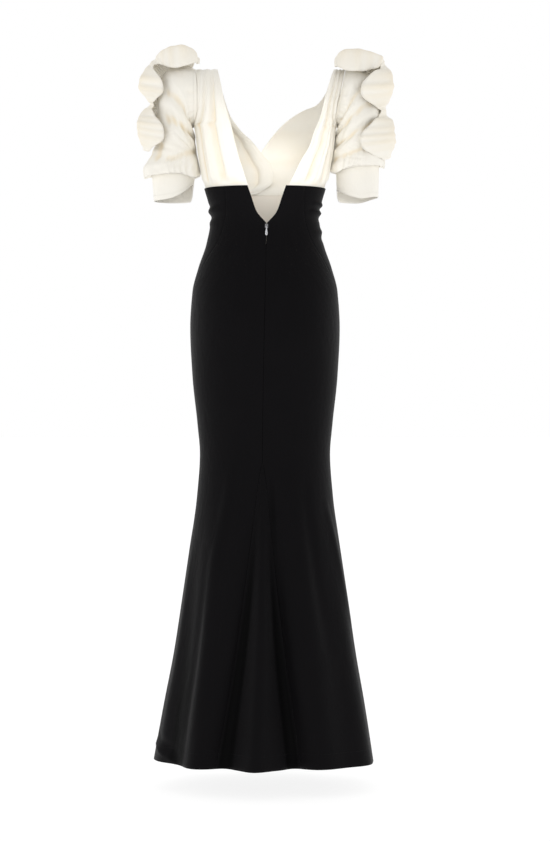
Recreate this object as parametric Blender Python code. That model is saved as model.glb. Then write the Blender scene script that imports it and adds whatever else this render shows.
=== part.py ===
"""A floor-length trumpet gown, held as it is worn: a black high-waisted skirt with a notched back and a
godet, an ivory draped bodice, and puff sleeves with a wide frill.

Metres, +Z up. The origin lies midway between the shoulder straps, at shoulder height. -Y is the
wearer's front and +X the wearer's left. Angles are degrees round the body from the centre back,
and grow towards the wearer's left.
"""

import bisect
import math
from collections import namedtuple

import bmesh
import bpy
from mathutils import Matrix, Vector

# Driving sizes
TOP_EDGE_Z = -0.2565  # top edge of the black cloth
HEM_Z = -1.4770
SHOULDER_DROP = 0.105  # height over which the shoulder rounds from back to front
SEAM_GAP = 0.0003
LAP_GAP = 0.0008  # between two layers of cloth
BLACK_WALL = 0.0020
IVORY_WALL = 0.0016
FRILL_WALL = 0.0012

# Centre-back notch and seam, and the godet below them
NOTCH_BOTTOM_Z = -0.3360
SEAM_X_TOP = -0.0040
SEAM_X_KNEE = 0.0050
GODET_TOP_Z = -0.8450
GODET_LEFT_DEG = 25.0
GODET_RIGHT_DEG = -20.0
SIDE_PANEL_TIP_Z = -0.4870
TIP_HALF_WIDTH = 0.0010  # of the blunt upper tip of the godet and lower tip of a side panel

Notch = namedtuple("Notch", "z half_width")
NOTCH = (
    Notch(NOTCH_BOTTOM_Z, 0.0000),
    Notch(-0.3095, 0.0220),
    Notch(-0.2830, 0.0315),
    Notch(TOP_EDGE_Z, 0.0409),
)

# The form that the gown keeps: half width and depths, and how square its outline is (2 is round)
Section = namedtuple("Section", "z half_width back front square")
SECTIONS = (
    Section(-1.4770, 0.2330, 0.2030, 0.1920, 2.10),
    Section(-1.3545, 0.2115, 0.1850, 0.1720, 2.10),
    Section(-1.2513, 0.1924, 0.1700, 0.1550, 2.10),
    Section(-1.1223, 0.1741, 0.1480, 0.1350, 2.10),
    Section(-1.0190, 0.1602, 0.1300, 0.1210, 2.10),
    Section(-0.9159, 0.1462, 0.1120, 0.1080, 2.10),
    Section(-0.8250, 0.1400, 0.1010, 0.1000, 2.10),
    Section(-0.7611, 0.1451, 0.1060, 0.1010, 2.10),
    Section(-0.6580, 0.1559, 0.1190, 0.1040, 2.15),
    Section(-0.5547, 0.1606, 0.1350, 0.1100, 2.20),
    Section(-0.4773, 0.1559, 0.1240, 0.1130, 2.20),
    Section(-0.4257, 0.1430, 0.1060, 0.1100, 2.15),
    Section(-0.3740, 0.1258, 0.0860, 0.1040, 2.10),
    Section(-0.3225, 0.1172, 0.0770, 0.0990, 2.10),
    Section(-0.2880, 0.1216, 0.0810, 0.1010, 2.10),
    Section(-0.2537, 0.1310, 0.0880, 0.1070, 2.15),
    Section(-0.2100, 0.1385, 0.0930, 0.1230, 2.20),
    Section(-0.1750, 0.1440, 0.0950, 0.1330, 2.30),
    Section(-0.1350, 0.1485, 0.0950, 0.1270, 2.50),
    Section(-0.1000, 0.1570, 0.0930, 0.1120, 2.80),
    Section(-0.0600, 0.1720, 0.0930, 0.1000, 3.00),
    Section(0.0000, 0.1900, 0.0930, 0.0900, 3.00),
)

# The skirt's rows of points, in bands that end where a seam starts or ends
Band = namedtuple("Band", "low high rows")
GODET_BAND = Band(HEM_Z, GODET_TOP_Z, 11)
THIGH_BAND = Band(GODET_TOP_Z, SIDE_PANEL_TIP_Z, 6)
HIP_BAND = Band(SIDE_PANEL_TIP_Z, NOTCH_BOTTOM_Z, 5)
NOTCH_BAND = Band(NOTCH_BOTTOM_Z, TOP_EDGE_Z, 3)

# Folds in the lower skirt: where each starts, its angle there and at the hem, its height at the
# hem (a trough is negative) and its half width in degrees
Fold = namedtuple("Fold", "start_z start_deg hem_deg height half_deg")
FOLDS = (
    Fold(-0.860, 0.5, 4.5, 0.024, 6.0),
    Fold(-0.860, 8.0, 22.0, -0.022, 8.0),
    Fold(-0.860, -5.0, -16.0, -0.028, 8.0),
    Fold(-0.930, 44.0, 36.0, 0.013, 9.0),
    Fold(-0.980, 62.0, 58.0, -0.012, 10.0),
    Fold(-0.900, -30.0, -32.0, 0.010, 12.0),
    Fold(-0.940, -68.0, -59.0, 0.020, 13.0),
    Fold(-1.000, -100.0, -94.0, -0.006, 12.0),
    Fold(-0.980, 92.0, 84.0, 0.006, 12.0),
    Fold(-0.960, 118.0, 112.0, -0.014, 12.0),
    Fold(-0.940, 142.0, 138.0, 0.014, 13.0),
    Fold(-0.980, 168.0, 166.0, -0.012, 12.0),
    Fold(-0.950, -164.0, -168.0, 0.014, 12.0),
    Fold(-1.010, -142.0, -143.0, -0.014, 12.0),
    Fold(-0.960, -120.0, -119.0, 0.012, 12.0),
)

FOLD_GROWTH = 0.85  # how soon the folds deepen on their way down: 1 is evenly

# The curved seam of the side panel, as a share of the half width at that height
Seam = namedtuple("Seam", "z share")
SIDE_SEAM = (
    Seam(SIDE_PANEL_TIP_Z, 1.0000),
    Seam(-0.4650, 0.9860),
    Seam(-0.4400, 0.9500),
    Seam(-0.4050, 0.8900),
    Seam(-0.3650, 0.7800),
    Seam(-0.3225, 0.7200),
    Seam(TOP_EDGE_Z, 0.6500),
)

# The bodice's 12 rows: heights on the side seam and round the armhole, and each piece's neck edge
ARMHOLE_Z = -0.1220
ARMHOLE_ROW = 5
Side = namedtuple("Side", "row z")
BODICE_SIDE = (
    Side(0, -0.2610),
    Side(1, -0.2520),
    Side(2, -0.2250),
    Side(3, -0.1920),
    Side(4, -0.1570),
    Side(5, ARMHOLE_Z),
    Side(6, -0.1160),
    Side(7, -0.0990),
    Side(8, -0.0746),
    Side(9, -0.0475),
    Side(10, -0.0230),
    Side(11, -0.0060),
    Side(12, 0.0000),
)
Neck = namedtuple("Neck", "row x z")
BACK_LEFT = (
    Neck(0, 0.0345, -0.2610),
    Neck(1, 0.0375, -0.2520),
    Neck(2, 0.0450, -0.2270),
    Neck(3, 0.0550, -0.1950),
    Neck(4, 0.0636, -0.1630),
    Neck(5, 0.0710, -0.1300),
    Neck(6, 0.0780, -0.1050),
    Neck(7, 0.0862, -0.0772),
    Neck(8, 0.0905, -0.0540),
    Neck(9, 0.0946, -0.0328),
    Neck(10, 0.0985, -0.0150),
    Neck(11, 0.1010, -0.0040),
    Neck(12, 0.1020, 0.0000),
)
BACK_RIGHT = (
    Neck(0, -0.0500, -0.2610),
    Neck(1, -0.0530, -0.2520),
    Neck(2, -0.0650, -0.2270),
    Neck(3, -0.0780, -0.2010),
    Neck(4, -0.0954, -0.1707),
    Neck(5, -0.1040, -0.1430),
    Neck(6, -0.1165, -0.1137),
    Neck(7, -0.1235, -0.0880),
    Neck(8, -0.1290, -0.0640),
    Neck(9, -0.1356, -0.0406),
    Neck(10, -0.1420, -0.0180),
    Neck(11, -0.1470, -0.0045),
    Neck(12, -0.1490, 0.0000),
)
FRONT_LEFT = (
    Neck(0, 0.0200, -0.2610),
    Neck(1, 0.0060, -0.2520),
    Neck(2, -0.0165, -0.2370),
    Neck(3, -0.0185, -0.2150),
    Neck(4, -0.0040, -0.1820),
    Neck(5, 0.0150, -0.1560),
    Neck(6, 0.0350, -0.1330),
    Neck(7, 0.0580, -0.1110),
    Neck(8, 0.0770, -0.0870),
    Neck(9, 0.0880, -0.0560),
    Neck(10, 0.0955, -0.0270),
    Neck(11, 0.1005, -0.0070),
    Neck(12, 0.1020, 0.0000),
)
FRONT_RIGHT = (
    Neck(0, 0.0400, -0.2610),
    Neck(1, 0.0395, -0.2520),
    Neck(2, 0.0350, -0.2200),
    Neck(3, 0.0250, -0.1900),
    Neck(4, 0.0094, -0.1630),
    Neck(5, -0.0150, -0.1290),
    Neck(6, -0.0450, -0.0990),
    Neck(7, -0.0800, -0.0770),
    Neck(8, -0.1130, -0.0640),
    Neck(9, -0.1310, -0.0430),
    Neck(10, -0.1410, -0.0200),
    Neck(11, -0.1470, -0.0050),
    Neck(12, -0.1490, 0.0000),
)
Armhole = namedtuple("Armhole", "z x")
ARMHOLE_LEFT = (
    Armhole(ARMHOLE_Z, 0.1520),
    Armhole(-0.1100, 0.1475),
    Armhole(-0.0900, 0.1437),
    Armhole(-0.0500, 0.1435),
    Armhole(0.0000, 0.1480),
)
ARMHOLE_RIGHT = (
    Armhole(ARMHOLE_Z, 0.1520),
    Armhole(-0.1100, 0.1495),
    Armhole(-0.0900, 0.1520),
    Armhole(-0.0500, 0.1620),
    Armhole(0.0000, 0.1720),
)

# Gathers in the back bodice: shares of the way from neck edge to side, at the bottom and the top
Gather = namedtuple("Gather", "bottom top height half_width")
GATHERS_LEFT = (
    Gather(0.16, 0.14, 0.0035, 0.08),
    Gather(0.36, 0.24, -0.0045, 0.08),
    Gather(0.53, 0.42, 0.0040, 0.08),
    Gather(0.71, 0.62, -0.0040, 0.07),
    Gather(0.86, 0.82, 0.0030, 0.07),
)
GATHERS_RIGHT = (
    Gather(0.12, 0.16, 0.0035, 0.08),
    Gather(0.30, 0.34, -0.0045, 0.08),
    Gather(0.47, 0.50, 0.0045, 0.08),
    Gather(0.64, 0.66, -0.0045, 0.08),
    Gather(0.82, 0.84, 0.0040, 0.08),
)
ROLL_SHARE = 0.16  # the rolled neckline of the left front, as a share of the piece's width
ROLL_DEPTH = 0.0110
FRONT_LAP = 0.0045  # how much deeper the left front lies where the right one laps it
BUST_X = 0.082
BUST_Z = -0.172
BUST_SPREAD = 0.052
BUST_HEIGHT = 0.012
LINING_HEIGHTS = (-0.3662, -0.3360, -0.3095, -0.2830, -0.2613)

# Sleeve rings from the armhole to the cuff: a point on the outer line, one on the inner line, and
# the half depth from front to back
Ring = namedtuple("Ring", "step outer_x outer_z inner_x inner_z deep")
SLEEVE_LEFT = (
    Ring(0.00, 0.1490, 0.0000, 0.1530, -0.1230, 0.0600),
    Ring(0.12, 0.1740, 0.0080, 0.1600, -0.1290, 0.0640),
    Ring(0.26, 0.2050, 0.0020, 0.1580, -0.1380, 0.0660),
    Ring(0.40, 0.2260, -0.0300, 0.1515, -0.1500, 0.0670),
    Ring(0.54, 0.2320, -0.0800, 0.1482, -0.1640, 0.0660),
    Ring(0.68, 0.2330, -0.1300, 0.1458, -0.1810, 0.0640),
    Ring(0.80, 0.2400, -0.1750, 0.1424, -0.2010, 0.0640),
    Ring(0.90, 0.2610, -0.2130, 0.1400, -0.2170, 0.0650),
    Ring(0.96, 0.2590, -0.2310, 0.1385, -0.2300, 0.0630),
    Ring(1.00, 0.2440, -0.2290, 0.1490, -0.2270, 0.0490),
)
SLEEVE_RIGHT = (
    Ring(0.00, 0.1730, 0.0000, 0.1530, -0.1230, 0.0600),
    Ring(0.12, 0.1960, 0.0060, 0.1600, -0.1290, 0.0650),
    Ring(0.26, 0.2230, -0.0060, 0.1580, -0.1370, 0.0680),
    Ring(0.40, 0.2400, -0.0400, 0.1515, -0.1470, 0.0700),
    Ring(0.54, 0.2500, -0.0850, 0.1484, -0.1600, 0.0700),
    Ring(0.68, 0.2560, -0.1280, 0.1462, -0.1750, 0.0690),
    Ring(0.80, 0.2590, -0.1650, 0.1430, -0.1920, 0.0680),
    Ring(0.90, 0.2580, -0.1920, 0.1405, -0.2100, 0.0670),
    Ring(0.96, 0.2560, -0.2080, 0.1390, -0.2210, 0.0640),
    Ring(1.00, 0.2463, -0.2075, 0.1512, -0.2195, 0.0510),
)
SLEEVE_HEAD = 0.12  # share of its length over which the sleeve leaves the armhole's shape
SLEEVE_GIRTH = 0.36
SLEEVE_LENGTH = 0.27

# Creases in the sleeves: two ends, each as a share round from the outer line by the back and a
# share along from the armhole
Crease = namedtuple("Crease", "round_a along_a round_b along_b depth half_width")
CREASES_LEFT = (
    Crease(0.42, 0.16, 0.16, 0.40, 0.0070, 0.015),
    Crease(0.45, 0.38, 0.18, 0.58, 0.0080, 0.015),
    Crease(0.46, 0.66, 0.24, 0.84, 0.0060, 0.014),
    Crease(0.12, 0.78, 0.14, 0.92, 0.0050, 0.014),
    Crease(0.60, 0.22, 0.86, 0.42, 0.0070, 0.015),
    Crease(0.58, 0.46, 0.82, 0.62, 0.0070, 0.015),
    Crease(0.64, 0.72, 0.80, 0.88, 0.0060, 0.014),
)
CREASES_RIGHT = (
    Crease(0.40, 0.12, 0.12, 0.36, 0.0070, 0.015),
    Crease(0.44, 0.36, 0.14, 0.46, 0.0080, 0.015),
    Crease(0.45, 0.60, 0.16, 0.62, 0.0070, 0.015),
    Crease(0.44, 0.82, 0.12, 0.80, 0.0060, 0.014),
    Crease(0.60, 0.18, 0.86, 0.38, 0.0070, 0.015),
    Crease(0.57, 0.42, 0.84, 0.56, 0.0070, 0.015),
    Crease(0.60, 0.70, 0.82, 0.78, 0.0060, 0.014),
)
Cuff = namedtuple("Cuff", "middle_x top_z bottom_z half_width half_depth taper rise_inner rise_outer")
CUFF_LEFT = Cuff(0.1965, -0.2200, -0.2830, 0.0472, 0.0487, 0.0050, 0.036, 0.000)
CUFF_RIGHT = Cuff(0.1988, -0.2000, -0.2830, 0.0467, 0.0502, 0.0020, 0.022, 0.008)

# The frill: how far along the sleeve it is sewn on, where its cloth folds over on its way out and
# where its free edge lies, one row for each turn of its waves
Wave = namedtuple("Wave", "step root fold_x fold_y fold_z x y z")
FRILL_LEFT = (
    Wave(0.00, 0.050, 0.1440, 0.016, 0.022, 0.1420, 0.028, 0.008),
    Wave(0.07, 0.100, 0.1540, 0.034, 0.038, 0.1480, 0.046, 0.008),
    Wave(0.15, 0.170, 0.1750, 0.044, 0.046, 0.1700, 0.056, 0.000),
    Wave(0.22, 0.235, 0.2020, 0.042, 0.043, 0.1960, 0.056, -0.004),
    Wave(0.28, 0.275, 0.2260, 0.024, 0.032, 0.2180, 0.040, 0.004),
    Wave(0.33, 0.305, 0.2350, 0.014, 0.020, 0.2320, 0.034, 0.008),
    Wave(0.38, 0.335, 0.2440, 0.018, 0.008, 0.2380, 0.040, -0.002),
    Wave(0.43, 0.365, 0.2560, 0.038, -0.006, 0.2320, 0.054, -0.012),
    Wave(0.49, 0.405, 0.2660, 0.052, -0.028, 0.2180, 0.062, -0.034),
    Wave(0.54, 0.445, 0.2680, 0.048, -0.047, 0.2160, 0.060, -0.056),
    Wave(0.59, 0.490, 0.2560, 0.028, -0.063, 0.2320, 0.048, -0.070),
    Wave(0.63, 0.525, 0.2460, 0.014, -0.073, 0.2380, 0.036, -0.077),
    Wave(0.67, 0.560, 0.2530, 0.018, -0.085, 0.2400, 0.042, -0.089),
    Wave(0.72, 0.595, 0.2650, 0.040, -0.099, 0.2340, 0.058, -0.104),
    Wave(0.80, 0.655, 0.2710, 0.054, -0.122, 0.2160, 0.066, -0.130),
    Wave(0.88, 0.715, 0.2700, 0.048, -0.146, 0.2160, 0.064, -0.158),
    Wave(0.94, 0.745, 0.2640, 0.032, -0.162, 0.2360, 0.050, -0.170),
    Wave(1.00, 0.765, 0.2600, 0.018, -0.172, 0.2480, 0.036, -0.180),
)
FRILL_RIGHT = (
    Wave(0.00, 0.050, 0.1560, 0.014, 0.018, 0.1520, 0.026, 0.002),
    Wave(0.06, 0.090, 0.1600, 0.032, 0.032, 0.1540, 0.046, 0.000),
    Wave(0.14, 0.160, 0.1800, 0.044, 0.038, 0.1740, 0.060, -0.010),
    Wave(0.22, 0.230, 0.2140, 0.044, 0.035, 0.2060, 0.062, -0.012),
    Wave(0.28, 0.265, 0.2480, 0.028, 0.026, 0.2360, 0.044, -0.004),
    Wave(0.33, 0.285, 0.2520, 0.014, 0.014, 0.2460, 0.036, 0.002),
    Wave(0.38, 0.305, 0.2600, 0.022, 0.002, 0.2440, 0.046, -0.006),
    Wave(0.43, 0.325, 0.2690, 0.046, -0.012, 0.2300, 0.064, -0.014),
    Wave(0.49, 0.385, 0.2720, 0.060, -0.036, 0.2060, 0.078, -0.040),
    Wave(0.55, 0.455, 0.2690, 0.054, -0.060, 0.2060, 0.077, -0.068),
    Wave(0.60, 0.515, 0.2600, 0.030, -0.079, 0.2340, 0.054, -0.085),
    Wave(0.64, 0.550, 0.2580, 0.022, -0.089, 0.2450, 0.042, -0.092),
    Wave(0.68, 0.585, 0.2610, 0.022, -0.101, 0.2440, 0.046, -0.104),
    Wave(0.73, 0.630, 0.2710, 0.046, -0.116, 0.2300, 0.066, -0.119),
    Wave(0.80, 0.720, 0.2730, 0.060, -0.142, 0.2040, 0.079, -0.148),
    Wave(0.88, 0.820, 0.2720, 0.052, -0.168, 0.2060, 0.077, -0.177),
    Wave(0.94, 0.870, 0.2690, 0.030, -0.184, 0.2320, 0.056, -0.190),
    Wave(1.00, 0.900, 0.2660, 0.012, -0.193, 0.2520, 0.036, -0.197),
)
FRILL_ROUND = 0.04  # where it is sewn on, as a share round the sleeve from its outer line
FRILL_GAP = 0.0010
FRILL_COLUMNS = 60
FRILL_ROWS = 5

# Zip
SLIDER_TOP_GAP = 0.0020  # from the notch down to the slider
SLIDER_WIDTH = 0.0064
SLIDER_HEIGHT = 0.0090
SLIDER_THICK = 0.0016
EAR_THICK = 0.0008
EAR_HEIGHT = 0.0038
EAR_WIDTH = 0.0030
PIN_RADIUS = 0.0005
PIN_OUT = 0.0038  # the pin's middle, out from the cloth
EYE_RADIUS = 0.0016
EYE_HOLE_RADIUS = 0.0009
EYE_LENGTH = 0.0026
PULL_LENGTH = 0.0200
PULL_WIDTH = 0.0052
PULL_THICK = 0.0011
PULL_STEPS = 12
PULL_LEAN_DEG = -8.0  # from the cloth's slope, so that the pull's tip lies close to the cloth


def smooth_curve(rows, key, column, free=False):
    """A smooth curve through one column of a table, held flat past its ends. Only a free curve swings
    past its rows at a turn."""
    rows = sorted(rows, key=lambda row: getattr(row, key))
    at = [getattr(row, key) for row in rows]
    value = [getattr(row, column) for row in rows]
    slope = [(value[i + 1] - value[i]) / (at[i + 1] - at[i]) for i in range(len(at) - 1)]
    tangent = [slope[0]]
    for i, (before, after) in enumerate(zip(slope, slope[1:]), 1):
        if free:
            tangent.append((value[i + 1] - value[i - 1]) / (at[i + 1] - at[i - 1]))
        else:
            tangent.append(2 * before * after / (before + after) if before * after > 0 else 0.0)
    tangent.append(slope[-1])

    def read(x):
        x = min(max(x, at[0]), at[-1])
        i = min(bisect.bisect_right(at, x) - 1, len(at) - 2)
        width = at[i + 1] - at[i]
        t = (x - at[i]) / width
        rise = t * t * (3 - 2 * t)
        start = t * (1 - t) ** 2 * width * tangent[i]
        end = -t * t * (1 - t) * width * tangent[i + 1]
        return value[i] + (value[i + 1] - value[i]) * rise + start + end

    return read


def ramp(x, low, high):
    """0 below low, 1 above high, and a soft step between."""
    t = min(max((x - low) / (high - low), 0.0), 1.0)
    return t * t * (3 - 2 * t)


def bell(x, half_width):
    return math.exp(-((x / half_width) ** 2))


half_width_at = smooth_curve(SECTIONS, "z", "half_width")
back_at = smooth_curve(SECTIONS, "z", "back")
front_at = smooth_curve(SECTIONS, "z", "front")
square_at = smooth_curve(SECTIONS, "z", "square")
seam_share_at = smooth_curve(SIDE_SEAM, "z", "share")
notch_half_width_at = smooth_curve(NOTCH, "z", "half_width")
armhole_x_at = {
    1: smooth_curve(ARMHOLE_LEFT, "z", "x"),
    -1: smooth_curve(ARMHOLE_RIGHT, "z", "x"),
}


def band_heights(*bands):
    """The heights of the rows of points in bands that follow each other upwards."""
    heights = [bands[0].low]
    for band in bands:
        step = (band.high - band.low) / band.rows
        heights += [band.low + step * (i + 1) for i in range(band.rows)]
    return heights


def height_at(v, heights):
    """The height at a share of the way up the rows."""
    place = v * (len(heights) - 1)
    i = min(int(place), len(heights) - 2)
    return heights[i] + (heights[i + 1] - heights[i]) * (place - i)


SKIRT_HEIGHTS = band_heights(GODET_BAND, THIGH_BAND, HIP_BAND, NOTCH_BAND)


def depth_at(z, to_back):
    """Half depth of the body at that height, rounding to nothing at the shoulder line."""
    depth = back_at(z) if to_back else front_at(z)
    above = min(max(0.0, z + SHOULDER_DROP) / SHOULDER_DROP, 1.0)
    return depth * math.sqrt(1 - above**2) + SEAM_GAP


def fold_height(degrees, z):
    """How far the lower skirt stands out at that angle and height, all its folds together."""
    total = 0.0
    for fold in FOLDS:
        if z < fold.start_z:
            down = (fold.start_z - z) / (fold.start_z - HEM_Z)
            middle = fold.start_deg + (fold.hem_deg - fold.start_deg) * down
            off = (degrees - middle + 180) % 360 - 180
            total += fold.height * down**FOLD_GROWTH * bell(off, fold.half_deg)
    return total


def body_point(degrees, z):
    """The cloth's outer point at that angle and height. The angle is the outline's own parameter,
    so points stay evenly spread where the body gets thin at the shoulder."""
    z = min(z, 0.0)
    turn = math.radians(degrees)
    side, out = math.sin(turn), math.cos(turn)
    power = 2 / square_at(z)
    x = math.copysign(abs(side) ** power, side) * half_width_at(z)
    y = math.copysign(abs(out) ** power, out) * depth_at(z, out > 0)
    return Vector((x, y, z)) + Vector((side, out, 0)) * fold_height(degrees, z)


def body_normal(degrees, z):
    up = body_point(degrees, z + 0.0005) - body_point(degrees, z - 0.0005)
    round_body = body_point(degrees + 0.1, z) - body_point(degrees - 0.1, z)
    return up.cross(round_body).normalized()


def angle_of(x, z, to_back):
    """The angle at which the body has that x, on its back or its front."""
    share = min(abs(x) / half_width_at(z), 1.0)
    degrees = math.degrees(math.asin(share ** (square_at(z) / 2)))
    return math.copysign(degrees if to_back else 180 - degrees, x)


def normal_of(surface, u, v, ring, step=1e-3):
    """The unit normal of a surface over the unit square, right-handed with u and v. On a ring, u
    runs on past its ends."""
    u_low, u_high = (u - step, u + step) if ring else (max(u - step, 0), min(u + step, 1))
    along_u = surface(u_high, v) - surface(u_low, v)
    along_v = surface(u, min(v + step, 1)) - surface(u, max(v - step, 0))
    return along_u.cross(along_v).normalized()


def link(name, mesh, material):
    mesh.materials.append(material)
    mesh.shade_smooth()
    mesh.set_sharp_from_angle(angle=math.radians(40))
    part = bpy.data.objects.new(name, mesh)
    bpy.context.scene.collection.objects.link(part)
    return part


def add_wall(name, material, surface, normal, columns, rows, thick, ring=False, outer_share=0.0):
    """A closed wall of cloth. Its outer points lie on the surface, or that share of its thickness
    outside it, and it goes inwards against the normal."""
    bm = bmesh.new()
    bmesh.ops.create_grid(bm, x_segments=columns, y_segments=rows, size=0.5)
    normals = {}
    for vert in bm.verts:
        u, v = vert.co.x + 0.5, vert.co.y + 0.5
        normals[vert] = normal(u, v)
        vert.co = surface(u, v) + normals[vert] * (thick * outer_share)
    if ring:
        bmesh.ops.remove_doubles(bm, verts=bm.verts[:], dist=1e-5)
    bmesh.ops.triangulate(bm, faces=bm.faces[:])
    outer = bm.verts[:]
    rim = [edge for edge in bm.edges if edge.is_boundary]
    inner = bmesh.ops.duplicate(bm, geom=bm.verts[:] + bm.edges[:] + bm.faces[:])["vert_map"]
    for vert in outer:
        inner[vert].co = vert.co - normals[vert] * thick
    for edge in rim:
        first, second = edge.verts
        bm.faces.new((first, second, inner[second], inner[first]))
    bmesh.ops.recalc_face_normals(bm, faces=bm.faces[:])
    mesh = bpy.data.meshes.new(name)
    bm.to_mesh(mesh)
    bm.free()
    return link(name, mesh, material)


def degrees_for(gap, z, degrees):
    """The angle that spans a gap on the cloth at that height."""
    width = (body_point(degrees + 0.25, z) - body_point(degrees - 0.25, z)).length
    return 0.5 * gap / width


def centre_back(z):
    """The angle of the centre-back seam."""
    seam_x = SEAM_X_TOP + (SEAM_X_KNEE - SEAM_X_TOP) * ramp(-z, -TOP_EDGE_Z, -GODET_TOP_Z)
    return angle_of(seam_x, z, True)


def back_edge(z, side):
    """The angle of a back panel's centre edge: the notch, the seam, then the godet's seam."""
    if z > NOTCH_BOTTOM_Z:
        return angle_of(SEAM_X_TOP + side * notch_half_width_at(z), z, True)
    if z > GODET_TOP_Z + SEAM_GAP:
        return centre_back(z)
    down = max(GODET_TOP_Z - z, 0.0) / (GODET_TOP_Z - HEM_Z)
    swing = GODET_LEFT_DEG if side > 0 else GODET_RIGHT_DEG
    tip = side * degrees_for(TIP_HALF_WIDTH, z, 0)
    return centre_back(z) + tip + swing * down**0.8


def side_seam(z, side):
    """The angle of the seam between a back panel and its side panel, or of the side seam below."""
    if z < SIDE_PANEL_TIP_Z - SEAM_GAP:
        return 90.0 * side
    tip = 90 - degrees_for(TIP_HALF_WIDTH, z, 90)
    return side * min(angle_of(seam_share_at(z) * half_width_at(z), z, True), tip)


def add_panel(name, material, start_at, end_at, heights, columns, thick=BLACK_WALL, inset=0.0):
    """A wall of the body's form between two seams, each given as an angle at a height."""

    def place(u, v):
        z = height_at(v, heights)
        start, end = start_at(z), end_at(z)
        start += degrees_for(SEAM_GAP / 2, z, start)
        end -= degrees_for(SEAM_GAP / 2, z, end)
        return start + (end - start) * u, z

    def surface(u, v):
        return body_point(*place(u, v)) - body_normal(*place(u, v)) * inset

    def normal(u, v):
        return body_normal(*place(u, v))

    return add_wall(name, material, surface, normal, columns, len(heights) - 1, thick)


def add_skirt(material):
    full, godet, hip = SKIRT_HEIGHTS, band_heights(GODET_BAND), band_heights(HIP_BAND, NOTCH_BAND)
    seam_left, seam_right = (lambda z: side_seam(z, 1)), (lambda z: side_seam(z, -1))
    front_left, front_right = (lambda z: 180 - side_seam(z, 1)), (lambda z: -180 - side_seam(z, -1))
    edge_left, edge_right = (lambda z: back_edge(z, 1)), (lambda z: back_edge(z, -1))
    add_panel("front_panel", material, front_left, lambda z: 180 + side_seam(z, 1), full, 22)
    add_panel("godet", material, edge_right, edge_left, godet, 10)
    add_panel("back_panel_left", material, edge_left, seam_left, full, 10)
    add_panel("back_panel_right", material, seam_right, edge_right, full, 10)
    add_panel("side_panel_left", material, seam_left, front_left, hip, 10)
    add_panel("side_panel_right", material, front_right, seam_right, hip, 10)


def bust_height(x, z, share):
    """The soft fullness of a cup on a general figure. It fades towards the side seam."""
    full = BUST_HEIGHT * bell(abs(x) - BUST_X, BUST_SPREAD) * bell(z - BUST_Z, BUST_SPREAD)
    return full * ramp(1 - share, 0.0, 0.35) * (1 - ramp(abs(x), 0.100, 0.140))


def gather_height(gathers, u, v):
    """How far the gathers stand out. They fade towards the shoulder."""
    total = sum(
        gather.height * bell(u - gather.bottom - (gather.top - gather.bottom) * v, gather.half_width)
        for gather in gathers
    )
    return total * ramp(u, 0.0, 0.08) * ramp(1 - u, 0.0, 0.22) * (1 - 0.8 * ramp(v, 0.45, 0.9))


bodice_side_at = smooth_curve(BODICE_SIDE, "row", "z")


def armhole_place(side, row, to_back):
    """The angle and height of the armhole's edge at a row of the bodice, or of the side seam."""
    z = bodice_side_at(row)
    x = half_width_at(z) if z <= ARMHOLE_Z else min(armhole_x_at[side](z), half_width_at(z))
    return angle_of(side * x, z, to_back), z


def armhole_point(side, u, read):
    """A point, or what read gives, on the armhole's edge. u starts at the shoulder and goes round
    by the back. It is straight between rows, as the bodice's edge is."""
    rows = BODICE_SIDE[-1].row
    armhole_rows = rows - ARMHOLE_ROW
    place = u % 1.0 * 2 * armhole_rows
    to_back = place < armhole_rows
    down = place if to_back else 2 * armhole_rows - place
    row = min(int(down), armhole_rows - 1)
    above, below = (read(*armhole_place(side, rows - i, to_back)) for i in (row, row + 1))
    return above.lerp(below, down - row)


def add_bodice(name, material, neck, side, to_back, columns, gathers=(), lapped=False):
    """A bodice piece. Its lower edge lies under the black cloth's top edge. The lapped one lies
    deeper near the centre and has the rolled neckline."""
    neck_x, neck_z = smooth_curve(neck, "row", "x"), smooth_curve(neck, "row", "z")
    rows = BODICE_SIDE[-1].row

    def place(u, v):
        start = angle_of(neck_x(v * rows), neck_z(v * rows), to_back)
        if not to_back and start * side < 0:
            start += 360 * side
        end, high = armhole_place(side, v * rows, to_back)
        end += degrees_for(SEAM_GAP, high, end) * math.copysign(1, start - end)
        share = u**1.6 if lapped else u
        return start + (end - start) * share, neck_z(v * rows) + (high - neck_z(v * rows)) * share, share

    def normal(u, v):
        degrees, z, share = place(u, v)
        return body_normal(degrees, z)

    def surface(u, v):
        degrees, z, share = place(u, v)
        point = body_point(degrees, z)
        tucked = 1 - ramp(z, TOP_EDGE_Z + 0.0045, TOP_EDGE_Z + 0.022)
        inset = (BLACK_WALL + LAP_GAP) * tucked
        full = gather_height(gathers, share, v) if to_back else bust_height(point.x, z, share)
        full *= 1 - tucked
        if lapped:
            inset += FRONT_LAP * (1 - ramp(abs(point.x), 0.050, 0.085))
            fade = ramp(v, 0.06, 0.2) * ramp(1 - v, 0.2, 0.4)
            inset += ROLL_DEPTH * (1 - ramp(share, 0.0, ROLL_SHARE)) * fade
        return point + body_normal(degrees, z) * (full - inset)

    return add_wall(name, material, surface, normal, columns, rows, IVORY_WALL)


def add_lining(material):
    """The pale lining of the front, seen from behind through the notch."""
    inset = BLACK_WALL + LAP_GAP
    add_panel(
        "front_lining", material, lambda z: 90.0, lambda z: 270.0, LINING_HEIGHTS, 18, IVORY_WALL, inset
    )


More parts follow.
